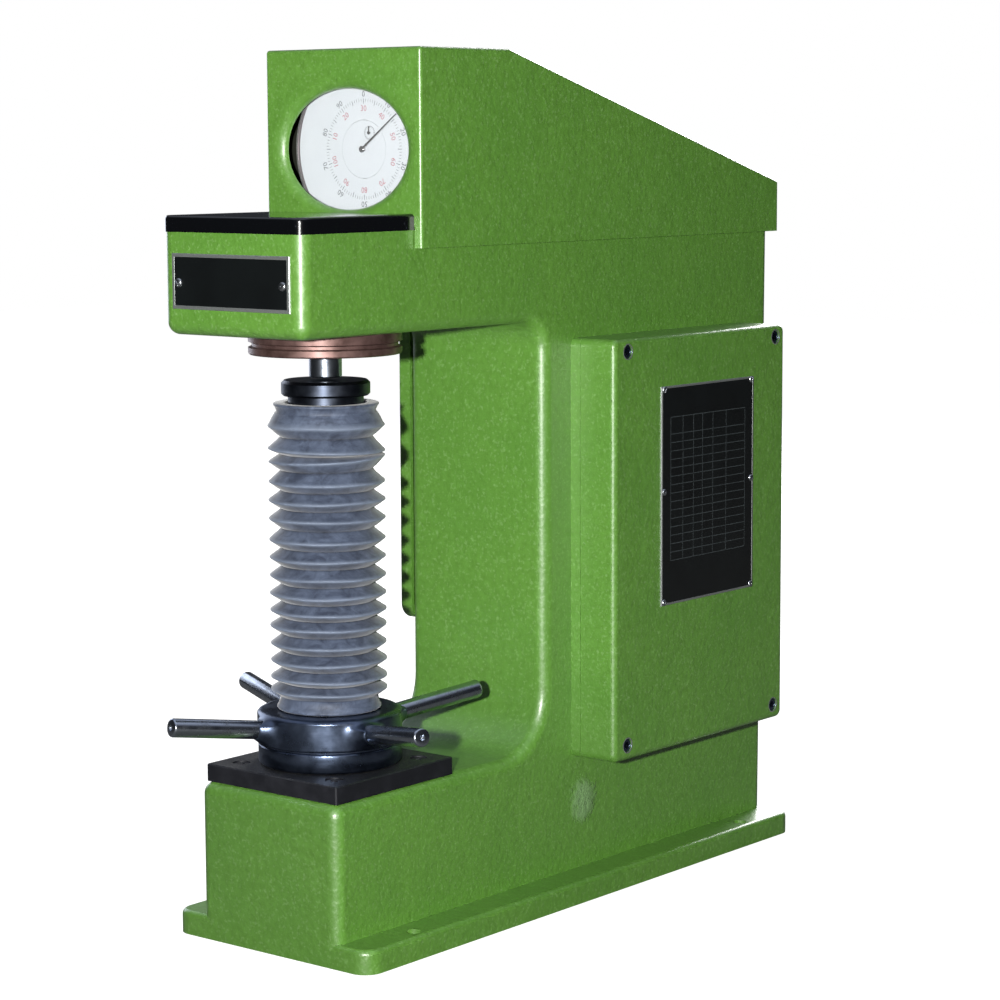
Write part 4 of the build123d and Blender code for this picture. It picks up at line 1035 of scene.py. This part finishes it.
# The long pointer, in mm: its turn is in degrees clockwise from the top, its hub's outline is
# (inset from the hub's radius, height over the blade)
pointerShape = {
    "turn": 53.0, "reach": 41.0, "root": 1.4, "halfRoot": 0.75, "halfTip": 0.22, "thick": 0.6, "hub": 2.3,
    "hubRim": ((0.5, 0.3), (0.0, -0.1), (0.0, -0.6)), "hole": 0.9,
    "holeRim": ((0.0, -0.6), (0.0, 0.1), (0.3, 0.3)), "pin": -0.15, "steps": 48,
}


def buildPointer(shape):
    front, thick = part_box("dial_pointer")[0].y, shape["thick"] * mm
    turn = radians(shape["turn"])
    along = Vector((sin(turn), 0, cos(turn)))
    aside = Vector((cos(turn), 0, -sin(turn)))
    verts = []
    for reach, half in ((shape["root"], shape["halfRoot"]), (shape["reach"], shape["halfTip"])):
        for side, depth in ((-half, 0), (half, 0), (half, thick), (-half, thick)):
            verts.append(Vector((dialX, front + depth, dialZ)) + (along * reach + aside * side) * mm)
    faces = [(0, 1, 2, 3), (4, 7, 6, 5), (0, 4, 5, 1), (1, 5, 6, 2), (2, 6, 7, 3), (3, 7, 4, 0)]
    place, axis, steps = (dialX, front, dialZ), (0, -1, 0), shape["steps"]
    ring = [(shape["hole"] + out, up) for out, up in shape["holeRim"]]
    ring += [(shape["hub"] - inset, up) for inset, up in shape["hubRim"]]
    hub = turnedGrid(ring, steps, place, axis, looped=True)
    pin = turnedGrid([(0, shape["pin"]), (shape["hole"], shape["pin"])], steps, place, axis)
    grid = joinGrids([(verts, faces), hub, pin])
    piece = addPiece("longPointer", *grid, made["blackPhenolic"], "pointer", "black_plastic")
    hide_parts("dial_pointer")


buildHood(hoodShape)
buildRolledEdge(hoodShape)
buildBezel(bezelShape)
buildPointer(pointerShape)
print("hood, bezel and pointer built")


# The print, in mm; the small dial's place is from the middle of the dial
dialPrint = {
    "tickOuter": 35.6, "tickShort": 2.2, "tickLong": 3.6, "tickWidth": 0.28, "longWider": 1.5, "ticks": 100,
    "longEvery": 5, "blackRadius": 38.6, "redRadius": 28.6, "letter": 5.805, "thick": 0.05,
    "smallAt": (5.5, 11.5), "smallRadius": 4.6, "smallTicks": 20, "smallShort": 0.8, "smallLong": 1.3,
    "smallWidth": 0.3, "smallRing": 0.25, "steps": 48,
}


def tickBox(centreX, centreZ, inner, outer, width, turn):
    # A printed mark on the dial's face; turn is clockwise from the top, seen by the operator
    along = Vector((sin(turn), 0, cos(turn)))
    aside = Vector((cos(turn), 0, -sin(turn)))
    centre = Vector((centreX, faceLow.y, centreZ))
    verts = []
    for depth in (0, -dialPrint["thick"]):
        for r in (inner, outer):
            for w in (-width / 2, width / 2):
                verts.append(centre + (along * r + aside * w + Vector((0, depth, 0))) * mm)
    return verts, [(0, 1, 3, 2), (4, 6, 7, 5), (0, 4, 5, 1), (2, 3, 7, 6), (0, 2, 6, 4), (1, 5, 7, 3)]


def buildTicks(shape):
    grids = []
    for i in range(shape["ticks"]):
        isLong = i % shape["longEvery"] == 0
        length = shape["tickLong"] if isLong else shape["tickShort"]
        width = shape["tickWidth"] * (shape["longWider"] if isLong else 1)
        outer, turn = shape["tickOuter"], 2 * pi * i / shape["ticks"]
        grids.append(tickBox(dialX, dialZ, outer - length, outer, width, turn))
    addPiece("dialTicks", *joinGrids(grids), made["blackDialInk"], "bezel", "dial_white", sharp=20)


def buildNumbers(name, values, radius, material):
    # Plain numbers set round the dial, their feet towards the centre
    half = dialPrint["thick"] / 2 * mm
    grids = []
    for index, value in enumerate(values):
        turn = 2 * pi * index / len(values)
        text = bpy.data.curves.new("number", "FONT")
        text.body = str(value)
        text.size = dialPrint["letter"] * mm
        text.align_x = "CENTER"
        text.align_y = "CENTER"
        text.extrude = half
        text.resolution_u = 2
        figure = newObject("number", text)
        bpy.context.view_layer.update()
        mesh = bpy.data.meshes.new_from_object(figure)
        spot = Vector((dialX + radius * sin(turn) * mm, faceLow.y - half, dialZ + radius * cos(turn) * mm))
        # Stand the text up to face the operator, then turn it round the dial
        stand, spin = Matrix.Rotation(pi / 2, 4, "X"), Matrix.Rotation(turn, 4, "Y")
        matrix = Matrix.Translation(spot) @ spin @ stand
        grids.append(([matrix @ v.co for v in mesh.vertices], [tuple(f.vertices) for f in mesh.polygons]))
        bpy.data.meshes.remove(mesh)
        bpy.data.objects.remove(figure)
        bpy.data.curves.remove(text)
    addPiece(name, *joinGrids(grids), material, "bezel", "dial_white", sharp=20)


def buildSmallDial(shape):
    x, z = [middle + off * mm for middle, off in zip((dialX, dialZ), shape["smallAt"])]
    radius, count = shape["smallRadius"], shape["smallTicks"]
    grids = []
    for i in range(count):
        length = shape["smallLong"] if i % shape["longEvery"] == 0 else shape["smallShort"]
        grids.append(tickBox(x, z, radius - length, radius, shape["smallWidth"], 2 * pi * i / count))
    outer, thick = radius + shape["smallRing"], shape["thick"]
    profile = [(radius, 0.0), (radius, thick), (outer, thick), (outer, 0.0)]
    grids.append(turnedGrid(profile, shape["steps"], (x, faceLow.y, z), (0, -1, 0), looped=True))
    addPiece("subDialPrint", *joinGrids(grids), made["blackDialInk"], "frame", "dial_white", sharp=20)


blackValues = range(0, 100, 10)
redValues = [(30 + value) % 100 or 100 for value in blackValues]
buildTicks(dialPrint)
buildNumbers("blackNumbers", blackValues, dialPrint["blackRadius"], made["blackDialInk"])
buildNumbers("redNumbers", redValues, dialPrint["redRadius"], made["redDialInk"])
buildSmallDial(dialPrint)
print("dial printed")
